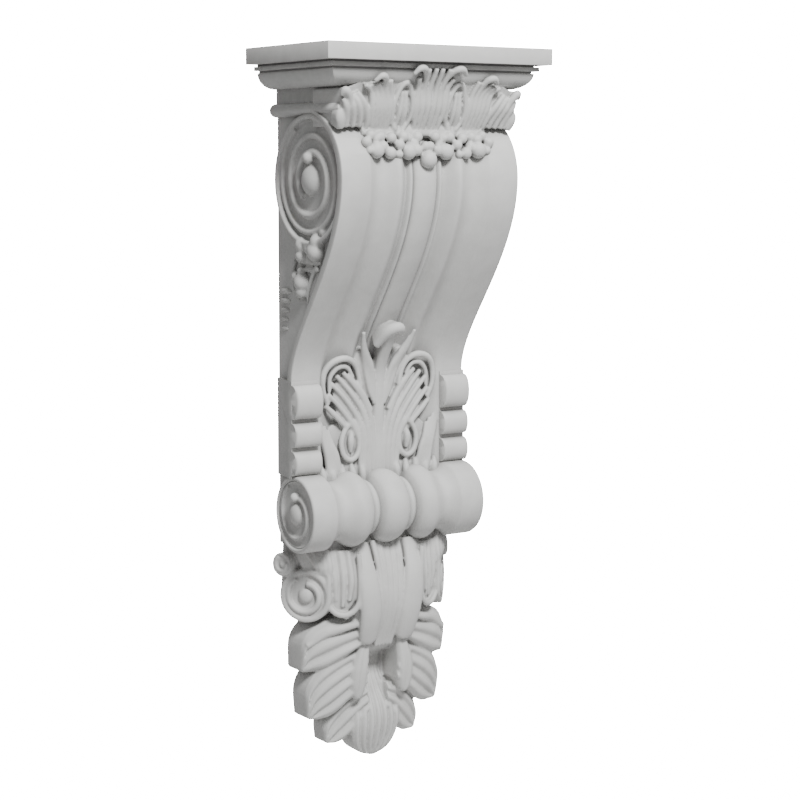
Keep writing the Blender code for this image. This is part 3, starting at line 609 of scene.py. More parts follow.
def make_side_scrolls():
    for side in SIDES:
        out = Vector((side, 0, 0))
        scroll(at(side * (PANEL + 1.2), VOLUTE_DEPTH, VOLUTE_DROP + 1.2), out, VOLUTE_RADIUS - 1.4,
               (3.6, PANEL_RECESS - 1.6), 2.3, 2.5, VOLUTE_BOSS, PANEL_RECESS, hand=side)
        scroll(at(side * (ROLL_HALF - ROLL_DISH), ROLL_DEPTH, ROLL_DROP), out, ROLL_RADIUS - 3.4,
               (1.5, 1.6), 1.0, 1.7, 9, 5, hand=side)
        spots = [(at(side * (PANEL + 5), VOLUTE_DEPTH, VOLUTE_DROP - 15.5), 4.6),
                 (at(side * (ROLL_HALF - 0.5), ROLL_DEPTH, ROLL_DROP - 13.5), 3.8)]
        for depth, drop, radius in ((70, 137, 4.2), (63, 145, 7), (61, 152, 8.2), (51, 150, 5.5),
                                    (41, 148, 6.8),
                                    (40, 156, 6.2), (50, 158, 4), (38, 168, 4.2), (40, 176, 7.4),
                                    (39, 183, 6),
                                    (30, 172, 4.5)):
            spots.append((at(side * (PANEL + 0.2 * radius), depth, drop), radius))
        berries(spots)
        bars = []
        for drop, reach in ((160.5, 15), (166, 12)):
            bars.append(([at(side * (PANEL + 0.8), depth, drop + 0.04 * (depth - 50) ** 2 / reach)
                          for depth in (50 - reach, 50, 50 + reach)], 1.6, 2.4, 1.4))
        bars.append(([at(side * (PANEL + 0.6), depth, drop) for depth, drop in
                      ((60, 163), (52, 172), (46, 184), (45, 196))], 2.2, 1.8, 0.5))
        bars.append(([at(side * (PANEL + 0.6), depth, drop) for depth, drop in
                      ((28, 160), (24, 170), (26, 182), (33, 190))], 2.0, 1.8, 0.5))
        strands(bars)
        rib = loft("rib", [[Vector((side * r * math.cos(turn), -reach, r * math.sin(turn))) * MM
                            for turn in (2 * math.pi * k / 12 for k in range(12))]
                           for reach, r in ((0, 0.1), (0.8, 1.8), (3, 2.6), (8, 2.7), (13, 2.2), (15.4, 1.2),
                                        (16, 0.1))])
        placing = Matrix.Translation(at(side * (PANEL - 0.3), 4.5, 184.5))
        grow(rib, tree_named("Side ribs", rib_tree), placing, Count=5, Pitch=-7.2 * MM, Shrink=0.91)


# Leaf band over the front of the abacus

def band_depth(drop):
    """Depth of the band of leaves: a roll at its foot, then forward with the ovolo."""
    throat = DEPTH - (HALF_WIDTH - THROAT_HALF)
    share = (BAND_FOOT - drop) / (BAND_FOOT - FASCIA)
    return throat + 7 * ease(2.6 * share) + 1 + 13 * ease((share - 0.4) / 0.75)


def band_path(side, *spots):
    """A path over the band through (x, drop, rise)."""
    return [at(side * x, band_depth(drop) + rise, drop) for x, drop, rise in spots]


def make_band_backing():
    """The ground of the band, with a top that falls towards the corners."""
    half, back, columns, rows = THROAT_HALF + 4, 60, 60, 16
    rings = []
    for k in range(columns + 1):
        x = between(-half, half, k / columns)
        top = 19 + 13 * ease((abs(x) - 46) / 30)
        drops = [between(BAND_FOOT, top, j / rows) for j in range(rows + 1)]
        rings.append([at(x, back, BAND_FOOT)] + [at(x, band_depth(drop) - 0.9, drop) for drop in drops]
                     + [at(x, back, top)])
    loft("band backing", rings)


def make_band():
    """A leaf in the middle, a lancet loop on each side of it, and a fan that sweeps out to each corner."""
    make_band_backing()
    loop = [(24 + (8.2 - 1.5 * math.cos(turn)) * math.sin(turn), 45 - 17.5 * math.cos(turn), 0.5)
            for turn in (math.radians(a) for a in range(-165, 166, 30))]
    paths = []
    for side in SIDES:
        for foot, middle, top, peak, curl in ((2.3, 2.4, 2.8, 17, 3.2), (6.6, 7.4, 9.6, 17.5, 3.6),
                                              (10.6, 12.4, 15.5, 24, 2.5)):
            paths.append((band_path(side, (foot, BAND_FOOT, -0.4), (middle, 46, 0.5), (middle + 0.5, 32, 0.8),
                                    (top, peak, curl)), 2.0, 2.5, 2.0))
        paths.append((band_path(side, (9, 25, 1.5), (13, 18.5, 4.2), (19, 17.5, 6), (23.5, 22, 6)),
                      2.0, 2.7, 1.6))
        paths.append((band_path(side, *loop), 1.7, 2.2, 1.7))
        for x in (21.8, 26.6):
            paths.append((band_path(side, (x, 60, -0.6), (x, 48, 0.4), (24 + 0.6 * (x - 24), 34, 0.4)),
                          1.6, 2.1, 1.4))
        for k in range(5):
            paths.append((band_path(side, (34.5 + 3.4 * k, BAND_FOOT, -0.4), (35.6 + 3.9 * k, 47, 0.6),
                                    (36.6 + 4.3 * k, 36 - 0.4 * k, 1.2), (40 + 5.1 * k, 26 + 1.0 * k, 2.6)),
                          1.9, 2.4, 1.9))
        paths.append((band_path(side, (43, 31, 2), (45.5, 25, 4), (50.5, 23.5, 5.6), (55, 27.5, 5.4)),
                      1.9, 2.7, 1.6))
        for k in range(4):
            paths.append((band_path(side, (52.5 + 5.6 * k, BAND_FOOT, -0.4), (54 + 5.8 * k, 53, 0.8),
                                    (59.5 + 5.0 * k, 43 + 0.6 * k, 1.6), (66 + 3.6 * k, 35 + 1.6 * k, 1.4)),
                          2.1, 2.7, 2.0))
        paths.append((band_path(side, (70, 44, 1.5), (74, 37, 3.4), (77.5, 34, 3.4), (79, 38, 2)),
                      2.2, 3.2, 2.0))
        blade([at(side * 75, 95, 61), at(side * 77, 98.5, 54), at(side * 77.2, 99, 47)], 3.8, 2.6, 8,
              root=0.9)
    strands(paths)


# Berries below the band

def make_berries():
    """Clusters over the flutes under the band, on a low bar that fills the space behind them."""
    blade([at(x, VOLUTE_DEPTH + 0.74 * VOLUTE_RADIUS, BAND_FOOT + 2) for x in (-56, 0, 56)],
          5.5, 3.2, 16, Vector((0, -1, 0.3)), root=0.9, belly=0.9)
    crest = VOLUTE_DEPTH + 0.92 * VOLUTE_RADIUS
    big = ((46, 77, 6.2), (34, 79, 4.6), (17, 78, 6.2), (9.5, 77, 4.4), (0, 84, 6.6))
    small = ((55, 71, 4.0), (50, 66, 3.9), (41, 67, 4.2), (32, 68, 4.1), (21, 67, 4.3), (8, 67, 4.3),
             (39, 74, 3.8),
             (26, 73, 4.0), (11, 72, 3.6), (2, 74, 3.8), (27, 80, 3.0), (53, 77, 3.0), (16, 68, 3.4),
             (46, 69, 3.8))
    spots = []
    for side in SIDES:
        for x, drop, radius in big + small:
            if x or side > 0:
                depth = crest - 0.35 * flute_sink(x) - max(78 - drop, 0) * 0.25
                spots.append((at(side * x, depth, drop), radius))
    berries(spots)


# Middle leaf between the cushions

def leaf_path(side, *spots):
    """A path through (x, drop, rise) over the fluted front, where the middle leaf grows."""
    return [at(side * x, front_depth(drop) - 0.7 * GROOVE_SINK + rise, drop) for x, drop, rise in spots]


def make_middle_leaf():
    """A stalk that ends in a curled tip, two fans with a rolled rim, and a drop-shaped eye on each side."""
    blade(leaf_path(1, (0, 336, 5), (0, 290, 6), (0, 250, 8), (0, 228, 12), (0, 214, 14)), 5.0, 3.0, 12,
          root=1.2)
    blade(leaf_path(1, (-9.5, 227, 10), (-4.5, 216, 13.5), (3.5, 213, 14.5), (9.5, 219, 11.5)), 4.4, 4.4, 12,
          root=0.7)
    for side in SIDES:
        for spots, width, crown in (
                (((8, 314, 4.6), (20, 284, 5.4), (34, 252, 5)), 15, 1.8),
                (((14, 336, 2.6), (27, 312, 2.6), (42, 290, 2.4)), 17, 1.4),
                (((5, 268, 4.5), (12, 250, 5), (19, 230, 4.5)), 10, 3)):
            blade(leaf_path(side, *spots), width, crown, 14, root=0.7)
        paths = []
        rim = ((46, 272, 6), (51, 261, 6.6), (50.5, 248, 7), (44.5, 239.5, 7.4), (34, 236.5, 7.8),
               (25.5, 240, 8),
               (20.5, 248, 8.4), (17.5, 260, 8.4))
        paths.append((leaf_path(side, *rim), 2.2, 2.7, 2.0))
        inner = ((45, 262, 6.4), (44.5, 251, 6.8), (38, 243.6, 7.2), (30, 244, 7.6), (24.5, 252, 8))
        paths.append((leaf_path(side, *inner), 1.6, 2.1, 1.6))
        fan = (((33, 248, 7), (21, 261, 8), (11, 277, 8), (5.6, 300, 7), (4.2, 334, 6)),
               ((39, 250, 7), (26.5, 264, 8), (15.5, 280, 8), (9.8, 300, 7.2), (8.2, 334, 6)),
               ((43.5, 256, 6.8), (32, 268, 7.8), (20.4, 284, 7.8), (14, 302, 7), (12.2, 334, 6)),
               ((46.5, 264, 6.4), (36.6, 274, 7.2), (25.6, 288, 7.4), (18.2, 303, 7), (16.4, 334, 6)),
               ((28, 251, 7.6), (17, 264, 8.4), (8, 279, 8)),
               ((48.5, 273, 6), (40, 281, 6.8), (31, 290, 7)))
        for spots in fan:
            paths.append((leaf_path(side, *spots), 1.9, 2.5, 2.2))
        for k in range(4):
            tip = ((4.6 + 1.4 * k, 274 - 3 * k, 7.4), (7 + 2.6 * k, 254 - 3.4 * k, 8.8),
                   (11 + 3.2 * k, 240 - 4 * k, 9.8), (16.5 + 2.4 * k, 232 - 5.4 * k, 8.2))
            paths.append((leaf_path(side, *tip), 1.9, 2.3, 1.5))
        eye = ((24, 286, 7.4), (31.5, 293, 7.6), (35, 303, 7.6), (32.5, 313, 7.6), (26, 317, 7.6),
               (19.8, 312, 7.6),
               (18.4, 302, 7.6), (20.4, 292, 7.6), (24, 287, 7.4))
        paths.append((leaf_path(side, *eye), 2.0, 2.4, 2.0))
        paths.append((leaf_path(side, (25, 293, 6), (26.4, 302, 7.6), (26, 311, 6)), 1.6, 3.0, 2.2))
        for k in range(4):
            outer = ((56.5 - 3.4 * k, 282 + 3.4 * k, 5), (53 - 3.2 * k, 296 + 2.4 * k, 6.8),
                     (48.5 - 3.2 * k, 311 + 1.0 * k, 7.6), (45 - 3.4 * k, 336, 7))
            paths.append((leaf_path(side, *outer), 1.8, 2.4, 2.1))
        for k in range(5):
            nub = ((53 - 9.2 * k, 320, 6), (52 - 9.0 * k, 328, 8.4), (51 - 8.8 * k, 338, 8.4))
            paths.append((leaf_path(side, *nub), 2.0, 3.2, 2.4))
        strands(paths)


# Bell of husks under the roll

def bell(drop):
    """(half width, depth) of the bell and of the stem below it."""
    share = (drop - BELL_TOP) / (BELL_FOOT - BELL_TOP)
    if share <= 1:
        swell = math.sin(math.pi * min(max(share, 0), 1) ** 0.9)
        depth = between(BELL_THROAT, BELL_FOOT_DEPTH, share)
        return (between(BELL_HALF, BELL_FOOT_HALF, ease(share)),
                depth + (BELL_DEPTH - (BELL_THROAT + BELL_FOOT_DEPTH) / 2) * swell)
    share = ease((drop - BELL_FOOT) / 14)
    return between(BELL_FOOT_HALF, STEM_HALF, share), between(BELL_FOOT_DEPTH, STEM_DEPTH, share)


def bell_depth(x, drop):
    half, depth = bell(drop)
    return depth * (1 - 0.45 * min(abs(x) / half, 1.0) ** 5)


def bell_path(side, *spots):
    """A path over the bell through (x, drop, rise)."""
    return [at(side * x, bell_depth(x, drop) + rise, drop) for x, drop, rise in spots]


def make_bell():
    rings = []
    levels = 80
    for level in range(levels + 1):
        drop = between(BELL_TOP - 14, STEM_FOOT, level / levels)
        half = bell(drop)[0]
        row = [at(half * s / 20, bell_depth(half * s / 20, drop) - 1.2, drop) for s in range(-20, 21)]
        rings.append([at(-half, -PAST_WALL, drop)] + row + [at(half, -PAST_WALL, drop)])
    loft("bell", rings)


def make_husks():
    """Strands that fall from the roll, a tongue and a cupped husk on each side, and the outer husks."""
    paths = []
    for k in range(-2, 3):
        paths.append((bell_path(1, (5.6 * k, 381, 0.6), (5.2 * k, 400, 1.6), (4.2 * k, 432, 1.8),
                                (3.4 * k, 466, 1)),
                      2.6, 2.6, 2.0))
    for side in SIDES:
        lean = Vector((0.5 * side, -1, 0))
        blade(bell_path(side, (22.5, 382, 1), (21.5, 408, 3.4), (18.6, 436, 4.4), (16.6, 462, 5.6)), 9.4, 4,
              9, root=0.7, belly=0.6, blunt=0.14, steps=30)
        paths.append((bell_path(side, (30, 382, 0), (29.4, 402, 0), (27.4, 428, 0), (25, 452, 0.6)), 2.2, 2.3,
                      1.8))
        pad = [at(side * 41, 37, 386), at(side * 40.5, 40, 408), at(side * 39.5, 38.5, 435)]
        blade(pad, 11.5, 1.2, 20, lean, root=0.9, belly=0.6, blunt=0.5)
        cup = [(40 + 11.6 * math.cos(turn), 421 + 15.5 * math.sin(turn)) for turn in
               (math.radians(a) for a in range(0, 181, 30))]
        cup = [(52.5, 388), (52, 406)] + cup + [(28.6, 406), (29.6, 388)]
        paths.append(([at(side * x, 62.5 - 0.52 * x, drop) for x, drop in cup], 2.0, 2.4, 2.0))
        for x, foot in ((34.4, 425), (40, 430), (45.8, 425)):
            paths.append(([at(side * (x + 1), 58 - 0.52 * x, 386), at(side * x, 62 - 0.52 * x, 408),
                           at(side * (0.8 * x + 8), 61 - 0.52 * x, foot)], 2.4, 2.6, 1.8))
        for k in range(4):
            paths.append((bell_path(side, (69 - 5.0 * k, 379, -0.5), (64 - 4.2 * k, 387, 0.8),
                                    (59.5 - 3.0 * k, 396 + 2 * k, 0.8), (56 - 2 * k, 402 + 5 * k, -2.4)),
                          2.4, 2.4, 1.6))
        blade(bell_path(side, (27, 440, 0.6), (32, 449, 2.4), (37.5, 457, 3)), 4.6, 3.4, 8, lean, root=0.9)
        paths.append((bell_path(side, (24, 454, 3), (29, 458, 5), (35.5, 459, 6), (39, 454, 4)), 1.8, 2.4,
                      1.6))
    strands(paths)


def make_low_volutes():
    """A scroll with a squared band round its upper inner corner and a small one above it, on each side."""
    for side in SIDES:
        out = Vector((0.77 * side, -0.64, 0.0))
        inward = Vector((-0.64 * side, -0.77, 0.0))
        centre = at(side * LOW_VOLUTE_SIDE, LOW_VOLUTE_DEPTH, LOW_VOLUTE_DROP)

        def on_face(proud, *spots):
            """Places of (inwards, upwards) from the centre, that far proud of the scroll."""
            return [centre + inward * (across * MM) + UP * (rise * MM) + out * (proud * MM)
                    for across, rise in spots]

        scroll(centre, out, LOW_VOLUTE_RADIUS, (4.2, 2.4), 0.9, 2.2, 6.2, 24, hand=side)
        scroll(at(side * 76.5, 10, LOW_VOLUTE_DROP - 24), Vector((0.94 * side, -0.34, 0)), 9.4, (2.2, 1.4),
               0.7, 1.2, 2.6, 16, hand=side)
        strands([(on_face(0.6, (0.5, 18.9), (11, 18.9), (17.2, 18.7), (18.9, 17), (19, 9), (19, 0)),
                  2.1, 2.1, 2.1)])
        blade(on_face(-1, (10, 16), (11, 8), (11, 0)), 8, 0.4, 14, out, root=1.0, belly=0.3, blunt=0.3)
        blade(on_face(0, (-4, 27), (4, 28), (12, 27)), 4.6, 2.2, 12, out, root=1.0, blunt=0.2)
        block = []
        for drop, half in ((BELL_TOP - 4, 70), (LOW_VOLUTE_DROP, 72),
                           (LOW_VOLUTE_DROP + LOW_VOLUTE_RADIUS, 62), (456, 44)):
            block.append([at(side * x, depth, drop) for x, depth in
                          ((20, -PAST_WALL), (half, -PAST_WALL), (half, 6), (20, 34))])
        loft("volute backing", block)


# Leaf drop

def leaf_between(upper, lower, stem_depth, tip_depth, dome, ribs, groove):
    """A leaf between two edges, each drawn through (x, drop) from the stem to the tip where they meet.

    It stands off the wall with a flank all round, its face is domed, and grooves part its ribs.
    """
    steps, across = 34, 8 * ribs
    edges = [smooth_path([at(x, 0, drop) for x, drop in edge], steps) for edge in (upper, lower)]
    rings = []
    for step in range(steps + 1):
        t = step / steps
        depth = between(stem_depth, tip_depth, ease(t))
        fall = max(t - 0.8, 0) / 0.2
        ring = []
        for k in range(across + 1):
            s = k / across
            lift = dome * max(1 - abs(2 * s - 1) ** 3, 0) ** 0.5 * (1 - 0.6 * fall ** 2)
            if 0 < k < across:
                lift -= groove * (1 - fall) * (0.5 + 0.5 * math.cos(2 * math.pi * ribs * s)) ** 1.5
            spot = between(edges[0][step], edges[1][step], s)
            ring.append(Vector((spot.x, -(depth + lift) * MM, spot.z)))
        middle = between(edges[0][step], edges[1][step], 0.5)
        feet = [between(v, middle, 0.08) for v in (ring[-1], ring[0])]
        ring += [Vector((v.x, PAST_WALL * MM, v.z)) for v in feet]
        rings.append(ring)
    loft("leaf", rings)


def make_leaf_drop():
    """Three leaves, a small inner one and a stem on each side, and the leaf at the foot."""
    for side in SIDES:
        for upper, lower, stem_depth, tip_depth, dome, ribs in (
                (((4, 439), (30, 438), (54, 444), (65.5, 457), (66.5, 480)),
                 ((20, 463), (36, 473), (50, 481), (60, 483), (65, 483)), 37, 20, 5, 3),
                (((14, 464), (34, 470), (53, 481), (62, 497), (61, 520)),
                 ((14, 498), (26, 507), (40, 519), (50, 522.5), (58.5, 522)), 33, 19, 5, 4),
                (((10, 500), (22, 504), (35, 513), (43.3, 527), (42.5, 543)),
                 ((8, 522), (15, 530), (24, 541), (32, 545.5), (40.5, 545)), 26, 16, 4.4, 3)):
            leaf_between(mirrored(side, *upper), mirrored(side, *lower), stem_depth, tip_depth, dome, ribs,
                         3.0)
        blade([at(*spot) for spot in mirrored(side, (15, 35, 456), (21, 35.5, 482), (22, 31.5, 508))], 7.5,
              4.4, 0,
              lobes=2, groove=1.2, belly=0.6, root=0.6, steps=36, to_wall=True)
        stem = mirrored(side, (20, 42, 444), (36, 38, 447), (50, 31, 452), (64, 25.5, 461))
        strands([([at(*spot) for spot in stem], 2.6, 3.6, 2.6)])
    blade([at(0, 10, 486), at(0, 16.5, 505), at(0, 26, 528), at(0, 18, 559.2)], 22, 6, 0, lobes=7, groove=2.8,
          belly=0.68, steps=40, to_wall=True)


# Cast and coat

def primer_coat():
    """Factory primer on moulded polyurethane foam: a matt light grey skin, faintly mottled where it was sprayed,
    with painted shade that darkens it down in the hollows and creases, and the fine orange peel of the mould's
    release skin."""
    name = "primed polyurethane foam"
    if name in bpy.data.materials:
        return bpy.data.materials[name]
    settings = bpy.context.scene.corbel
    material = bpy.data.materials.new(name)
    material.use_nodes = True
    tree = material.node_tree
    shader = tree.nodes["Principled BSDF"]
    place = add_node(tree, "ShaderNodeTexCoord").outputs["Object"]
    mottle_size = 15 * MM
    mottle = add_node(tree, "ShaderNodeTexNoise", {"Vector": place, "Scale": 1 / mottle_size, "Detail": 4.0})
    tone = add_node(tree, "ShaderNodeValToRGB", {"Fac": mottle.outputs["Fac"]})
    tone.color_ramp.elements[0].position = 0.35
    tone.color_ramp.elements[0].color = (*settings.primer_shade, 1)
    tone.color_ramp.elements[1].position = 0.65
    tone.color_ramp.elements[1].color = (*settings.primer_colour, 1)
    # Painted shade: an ambient occlusion lookup darkens the primer's colour in hollows and creases, where shade
    # falls.
    hollow_reach = 12 * MM
    openness = add_node(tree, "ShaderNodeAmbientOcclusion", {"Distance": hollow_reach}).outputs["AO"]
    painted_shade = add_node(tree, "ShaderNodeMapRange", {"Value": openness, "From Min": 0.3, "From Max": 0.95,
                                                  "To Min": settings.painted_hollow_shade, "To Max": 1.0})
    primer_with_painted_shade = add_node(tree, "ShaderNodeHueSaturation", {"Color": tone.outputs["Color"],
                                                      "Value": painted_shade.outputs["Result"]})
    tree.links.new(primer_with_painted_shade.outputs["Color"], shader.inputs["Base Color"])
    gloss = add_node(tree, "ShaderNodeMapRange", {"Value": mottle.outputs["Fac"], "To Min": 0.56,
                                                  "To Max": 0.66})
    tree.links.new(gloss.outputs["Result"], shader.inputs["Roughness"])
    peel_size = 1.2 * MM
    peel = add_node(tree, "ShaderNodeTexNoise", {"Vector": place, "Scale": 1 / peel_size, "Detail": 2.0})
    skin = add_node(tree, "ShaderNodeBump", {"Height": peel.outputs["Fac"], "Strength": 0.12,
                                             "Distance": 0.15 * MM})
    tree.links.new(skin.outputs["Normal"], shader.inputs["Normal"])
    shader.inputs["IOR"].default_value = 1.47
    return material


def evaluated_mesh(shape):
    bpy.context.view_layer.update()
    return bpy.data.meshes.new_from_object(shape.evaluated_get(bpy.context.evaluated_depsgraph_get()))


def gather(collection, name):
    """One object of all the shapes on a bench as they are evaluated; the shapes are removed."""
    bpy.context.view_layer.update()
    graph = bpy.context.evaluated_depsgraph_get()
    work = bmesh.new()
    for shape in bench(collection).objects:
        mesh = bpy.data.meshes.new_from_object(shape.evaluated_get(graph))
        mesh.transform(shape.matrix_world)
        work.from_mesh(mesh)
        bpy.data.meshes.remove(mesh)
    for shape in list(bench(collection).objects):
        bpy.data.objects.remove(shape)
    mesh = bpy.data.meshes.new(name)
    work.to_mesh(mesh)
    work.free()
    gathered = bpy.data.objects.new(name, mesh)
    bpy.context.scene.collection.objects.link(gathered)
    return gathered


def settle(shape):
    """Replaces a shape's mesh with the evaluated one and clears its modifiers."""
    mesh = evaluated_mesh(shape)
    shape.modifiers.clear()
    shape.data = mesh


def combine(target, operation, other):
    """A Boolean of target with another closed shape, which is removed."""
    settle(other)
    other.data.transform(other.matrix_world)
    other.matrix_world = Matrix.Identity(4)
    step = target.modifiers.new(operation.lower(), "BOOLEAN")
    step.operation = operation
    step.object = other
    step.solver = "MANIFOLD"
    settle(target)
    bpy.data.objects.remove(other)


def wall_cutter():
    """A block behind the wall face, larger than the corbel."""
    width, thickness, height = 0.4, 0.1, 1
    cutter = add_mesh("wall cutter", [], [], [], "mouldings")
    work = bmesh.new()
    bmesh.ops.create_cube(work, size=1)
    bmesh.ops.scale(work, verts=work.verts, vec=Vector((width, thickness, height)))
    bmesh.ops.translate(work, verts=work.verts, vec=Vector((0, thickness / 2, 0)))
    work.to_mesh(cutter.data)
    work.free()
    return cutter


def keep_skin(mesh):
    """Keeps the outer skin alone, the shell with most of the points, as triangles."""
    work = bmesh.new()
    work.from_mesh(mesh)
    waiting = set(work.verts)
    dropped = []
    while waiting:
        shell = [waiting.pop()]
        for vertex in shell:
            for edge in vertex.link_edges:
                other = edge.other_vert(vertex)
                if other in waiting:
                    waiting.remove(other)
                    shell.append(other)
        if len(shell) < len(work.verts) / 2:
            dropped += shell
    bmesh.ops.delete(work, geom=dropped, context="VERTS")
    bmesh.ops.triangulate(work, faces=work.faces)
    work.to_mesh(mesh)
    work.free()


def cast():
    """Fuses the carving, lightens its mesh, joins it to the crisp mouldings and cuts the wall face flat."""
    settings = bpy.context.scene.corbel
    corbel = gather("carving", "cast_corbel")
    fuse = corbel.modifiers.new("fuse", "REMESH")
    fuse.mode = "VOXEL"
    fuse.voxel_size = settings.fineness
    soften = corbel.modifiers.new("soften", "SMOOTH")
    soften.factor = 0.5
    soften.iterations = settings.soften_steps
    settle(corbel)
    lighten = corbel.modifiers.new("lighten", "DECIMATE")
    lighten.ratio = settings.carving_triangles / (2 * len(corbel.data.polygons))
    settle(corbel)
    for moulding in list(bench("mouldings").objects):
        combine(corbel, "UNION", moulding)
    combine(corbel, "DIFFERENCE", wall_cutter())
    keep_skin(corbel.data)
    corbel.data.materials.clear()
    corbel.data.materials.append(primer_coat())
    corbel.data.shade_smooth()
    corbel.data.set_sharp_from_angle(angle=math.radians(SHARP_ANGLE))
    for name in ("carving", "mouldings"):
        bpy.data.collections.remove(bench(name))
    return corbel


# Stage

def make_stage():
    settings = bpy.context.scene.corbel
    floor = bpy.data.objects.new("floor", bpy.data.meshes.new("floor"))
    bpy.context.scene.collection.objects.link(floor)
    work = bmesh.new()
    bmesh.ops.create_circle(work, cap_ends=True, segments=96, radius=settings.floor_radius)
    bmesh.ops.translate(work, verts=work.verts, vec=Vector((0, 0, LOWEST.z - settings.floor_drop)))
    work.to_mesh(floor.data)
    work.free()
    paint = bpy.data.materials.new("matt white studio floor")
    paint.use_nodes = True
    shader = paint.node_tree.nodes["Principled BSDF"]
    shader.inputs["Base Color"].default_value = (*settings.floor_colour, 1)
    shader.inputs["Roughness"].default_value = 0.9
    floor.data.materials.append(paint)
    for name, place, size, power in (("key", Vector((-0.26, -1.5, 1.5)), 0.45, settings.key_power),
                                     ("fill", Vector((1.6, -1.0, 0.6)), 1.4, settings.fill_power),
                                     ("back", Vector((0.4, 1.8, 1.2)), 1.4, settings.fill_power)):
        lamp = bpy.data.objects.new(name, bpy.data.lights.new(name, "AREA"))
        lamp.data.size = size
        lamp.data.energy = power
        lamp.location = place
        lamp.rotation_euler = (Vector((0, -0.05, 0)) - place).to_track_quat("-Z", "Y").to_euler()
        bpy.context.scene.collection.objects.link(lamp)
    world = bpy.data.worlds.new("studio")
    world.use_nodes = True
    bpy.context.scene.world = world
    tree = world.node_tree
    seen = add_node(tree, "ShaderNodeLightPath").outputs["Is Camera Ray"]
    strength = add_node(tree, "ShaderNodeMapRange", {"Value": seen, "To Min": settings.ambient,
                                                     "To Max": settings.backdrop})
    tree.links.new(strength.outputs["Result"], tree.nodes["Background"].inputs["Strength"])
    tree.nodes["Background"].inputs["Color"].default_value = (1, 1, 1, 1)


def make_camera():
    """The photograph's view: from the left, a little above the middle, with a long lens."""
    yaw, pitch = math.radians(33.465), math.radians(5.826)
    camera = bpy.data.objects.new("camera", bpy.data.cameras.new("camera"))
    camera.data.lens = 87.58
    camera.data.sensor_width = 36
    camera.data.shift_y = -0.05
    camera.location = (-0.82276, -1.30525, 0.19481)
    ahead = Vector((math.sin(yaw) * math.cos(pitch), math.cos(yaw) * math.cos(pitch), -math.sin(pitch)))
    camera.rotation_euler = ahead.to_track_quat("-Z", "Y").to_euler()
    bpy.context.scene.collection.objects.link(camera)
    bpy.context.scene.camera = camera


# Add-on

class CorbelSettings(bpy.types.PropertyGroup):
    fineness: FloatProperty(name="Fineness", description="Cell size of the fused carving", default=0.8 * MM,
                            unit="LENGTH")
    soften_steps: IntProperty(name="Softening", description="Rounds of smoothing over the fused carving",
                              default=2)
    carving_triangles: IntProperty(name="Carving triangles",
                                   description="Triangles kept in the fused carving",
                                   default=150000)
    strand_fullness: FloatProperty(name="Strand fullness",
                                   description="Thickness of the carved strands as a share",
                                   default=1.0)
    primer_colour: FloatVectorProperty(name="Primer", description="Colour of the primer", subtype="COLOR",
                                       default=linear("D2D2D0"))
    primer_shade: FloatVectorProperty(name="Primer shade", description="Darker tone of the sprayed primer",
                                      subtype="COLOR", default=linear("CBCBC9"))
    # Painted shade: the share of the primer's tone kept where ambient occlusion finds deep hollows.
    painted_hollow_shade: FloatProperty(name="Hollow tone", description="Share of the primer's tone left in deep hollows",
                               default=0.62, subtype="FACTOR")
    floor_colour: FloatVectorProperty(name="Floor", description="Colour of the studio floor", subtype="COLOR",
                                      default=linear("F4F4F4"))
    floor_drop: FloatProperty(name="Floor drop", description="Height of the corbel over the floor",
                              default=0.5,
                              unit="LENGTH")
    floor_radius: FloatProperty(name="Floor radius", description="Reach of the studio floor", default=0.8,
                                unit="LENGTH")
    key_power: FloatProperty(name="Key light", description="Power of the light in front", default=70.0,
                             unit="POWER")
    fill_power: FloatProperty(name="Fill light", description="Power of each fill light", default=3.0,
                              unit="POWER")
    backdrop: FloatProperty(name="Backdrop", description="Brightness of the white backdrop to the camera",
                            default=30.0)
    ambient: FloatProperty(name="Ambient", description="Strength of the white surroundings", default=0.3)


class MESH_OT_corbel_mouldings(bpy.types.Operator):
    """Make the abacus, the fluted scroll body, the cushions and the turned roll"""
    bl_idname = "mesh.corbel_mouldings"
    bl_label = "Mouldings"

    def execute(self, context):
        make_abacus()
        make_body()
        make_cushions()
        make_roll()
        return {"FINISHED"}


class MESH_OT_corbel_side_scrolls(bpy.types.Operator):
    """Make the volutes on both sides and the drops under them"""
    bl_idname = "mesh.corbel_side_scrolls"
    bl_label = "Side scrolls"

    def execute(self, context):
        make_side_scrolls()
        return {"FINISHED"}


class MESH_OT_corbel_band(bpy.types.Operator):
    """Make the band of leaves over the abacus and the berries below it"""
    bl_idname = "mesh.corbel_band"
    bl_label = "Leaf band and berries"

    def execute(self, context):
        make_band()
        make_berries()
        return {"FINISHED"}


class MESH_OT_corbel_middle_leaf(bpy.types.Operator):
    """Make the acanthus leaf between the cushions"""
    bl_idname = "mesh.corbel_middle_leaf"
    bl_label = "Middle leaf"

    def execute(self, context):
        make_middle_leaf()
        return {"FINISHED"}


class MESH_OT_corbel_bell(bpy.types.Operator):
    """Make the bell of husks under the roll with its volutes"""
    bl_idname = "mesh.corbel_bell"
    bl_label = "Bell of husks"

    def execute(self, context):
        make_bell()
        make_husks()
        make_low_volutes()
        return {"FINISHED"}


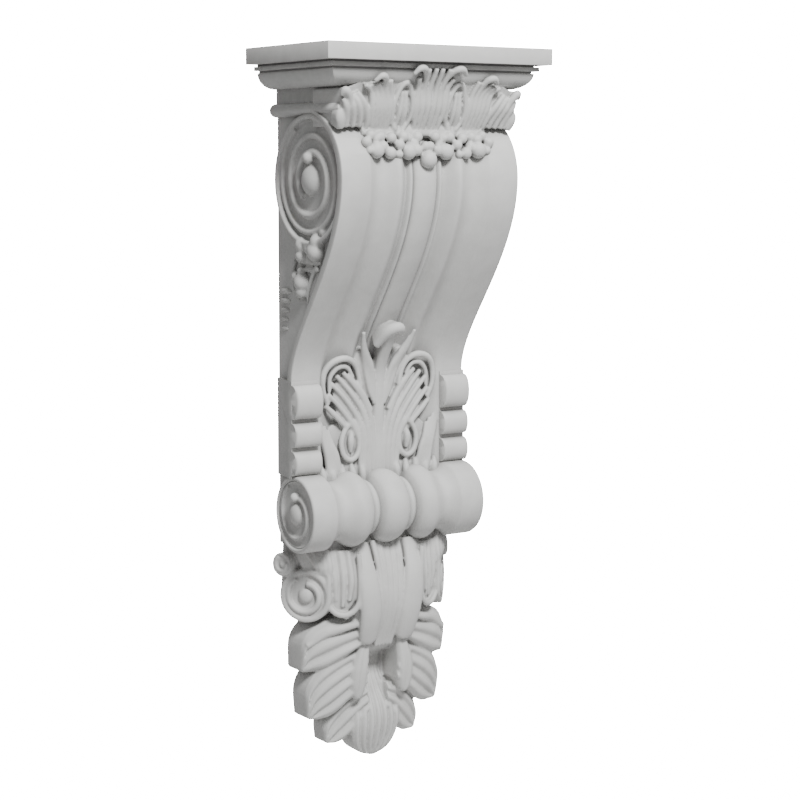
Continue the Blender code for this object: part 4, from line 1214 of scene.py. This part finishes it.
class MESH_OT_corbel_leaf_drop(bpy.types.Operator):
    """Make the leaves that hang at the foot"""
    bl_idname = "mesh.corbel_leaf_drop"
    bl_label = "Leaf drop"

    def execute(self, context):
        make_leaf_drop()
        return {"FINISHED"}


class MESH_OT_corbel_cast(bpy.types.Operator):
    """Fuse all the shapes to one cast and give it its primer"""
    bl_idname = "mesh.corbel_cast"
    bl_label = "Cast"

    def execute(self, context):
        corbel = cast()
        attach(corbel, "root")
        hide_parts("corbel")
        return {"FINISHED"}


class MESH_OT_corbel_stage(bpy.types.Operator):
    """Make the floor, the lights and the camera"""
    bl_idname = "mesh.corbel_stage"
    bl_label = "Stage"

    def execute(self, context):
        make_stage()
        make_camera()
        return {"FINISHED"}


STEPS = (MESH_OT_corbel_mouldings, MESH_OT_corbel_side_scrolls, MESH_OT_corbel_band,
         MESH_OT_corbel_middle_leaf,
         MESH_OT_corbel_bell, MESH_OT_corbel_leaf_drop, MESH_OT_corbel_cast, MESH_OT_corbel_stage)


class VIEW3D_PT_corbel(bpy.types.Panel):
    bl_label = "Corbel"
    bl_space_type = "VIEW_3D"
    bl_region_type = "UI"
    bl_category = "Corbel"

    def draw(self, context):
        for name in CorbelSettings.__annotations__:
            self.layout.prop(context.scene.corbel, name)
        for step in STEPS:
            self.layout.operator(step.bl_idname)


CLASSES = (CorbelSettings, *STEPS, VIEW3D_PT_corbel)


def register():
    for item in CLASSES:
        bpy.utils.register_class(item)
    bpy.types.Scene.corbel = PointerProperty(type=CorbelSettings)


def unregister():
    del bpy.types.Scene.corbel
    for item in reversed(CLASSES):
        bpy.utils.unregister_class(item)


def main():
    register()
    bpy.ops.mesh.corbel_mouldings()
    bpy.ops.mesh.corbel_side_scrolls()
    bpy.ops.mesh.corbel_band()
    bpy.ops.mesh.corbel_middle_leaf()
    bpy.ops.mesh.corbel_bell()
    bpy.ops.mesh.corbel_leaf_drop()
    bpy.ops.mesh.corbel_cast()
    bpy.ops.mesh.corbel_stage()


if __name__ == "__main__":
    main()
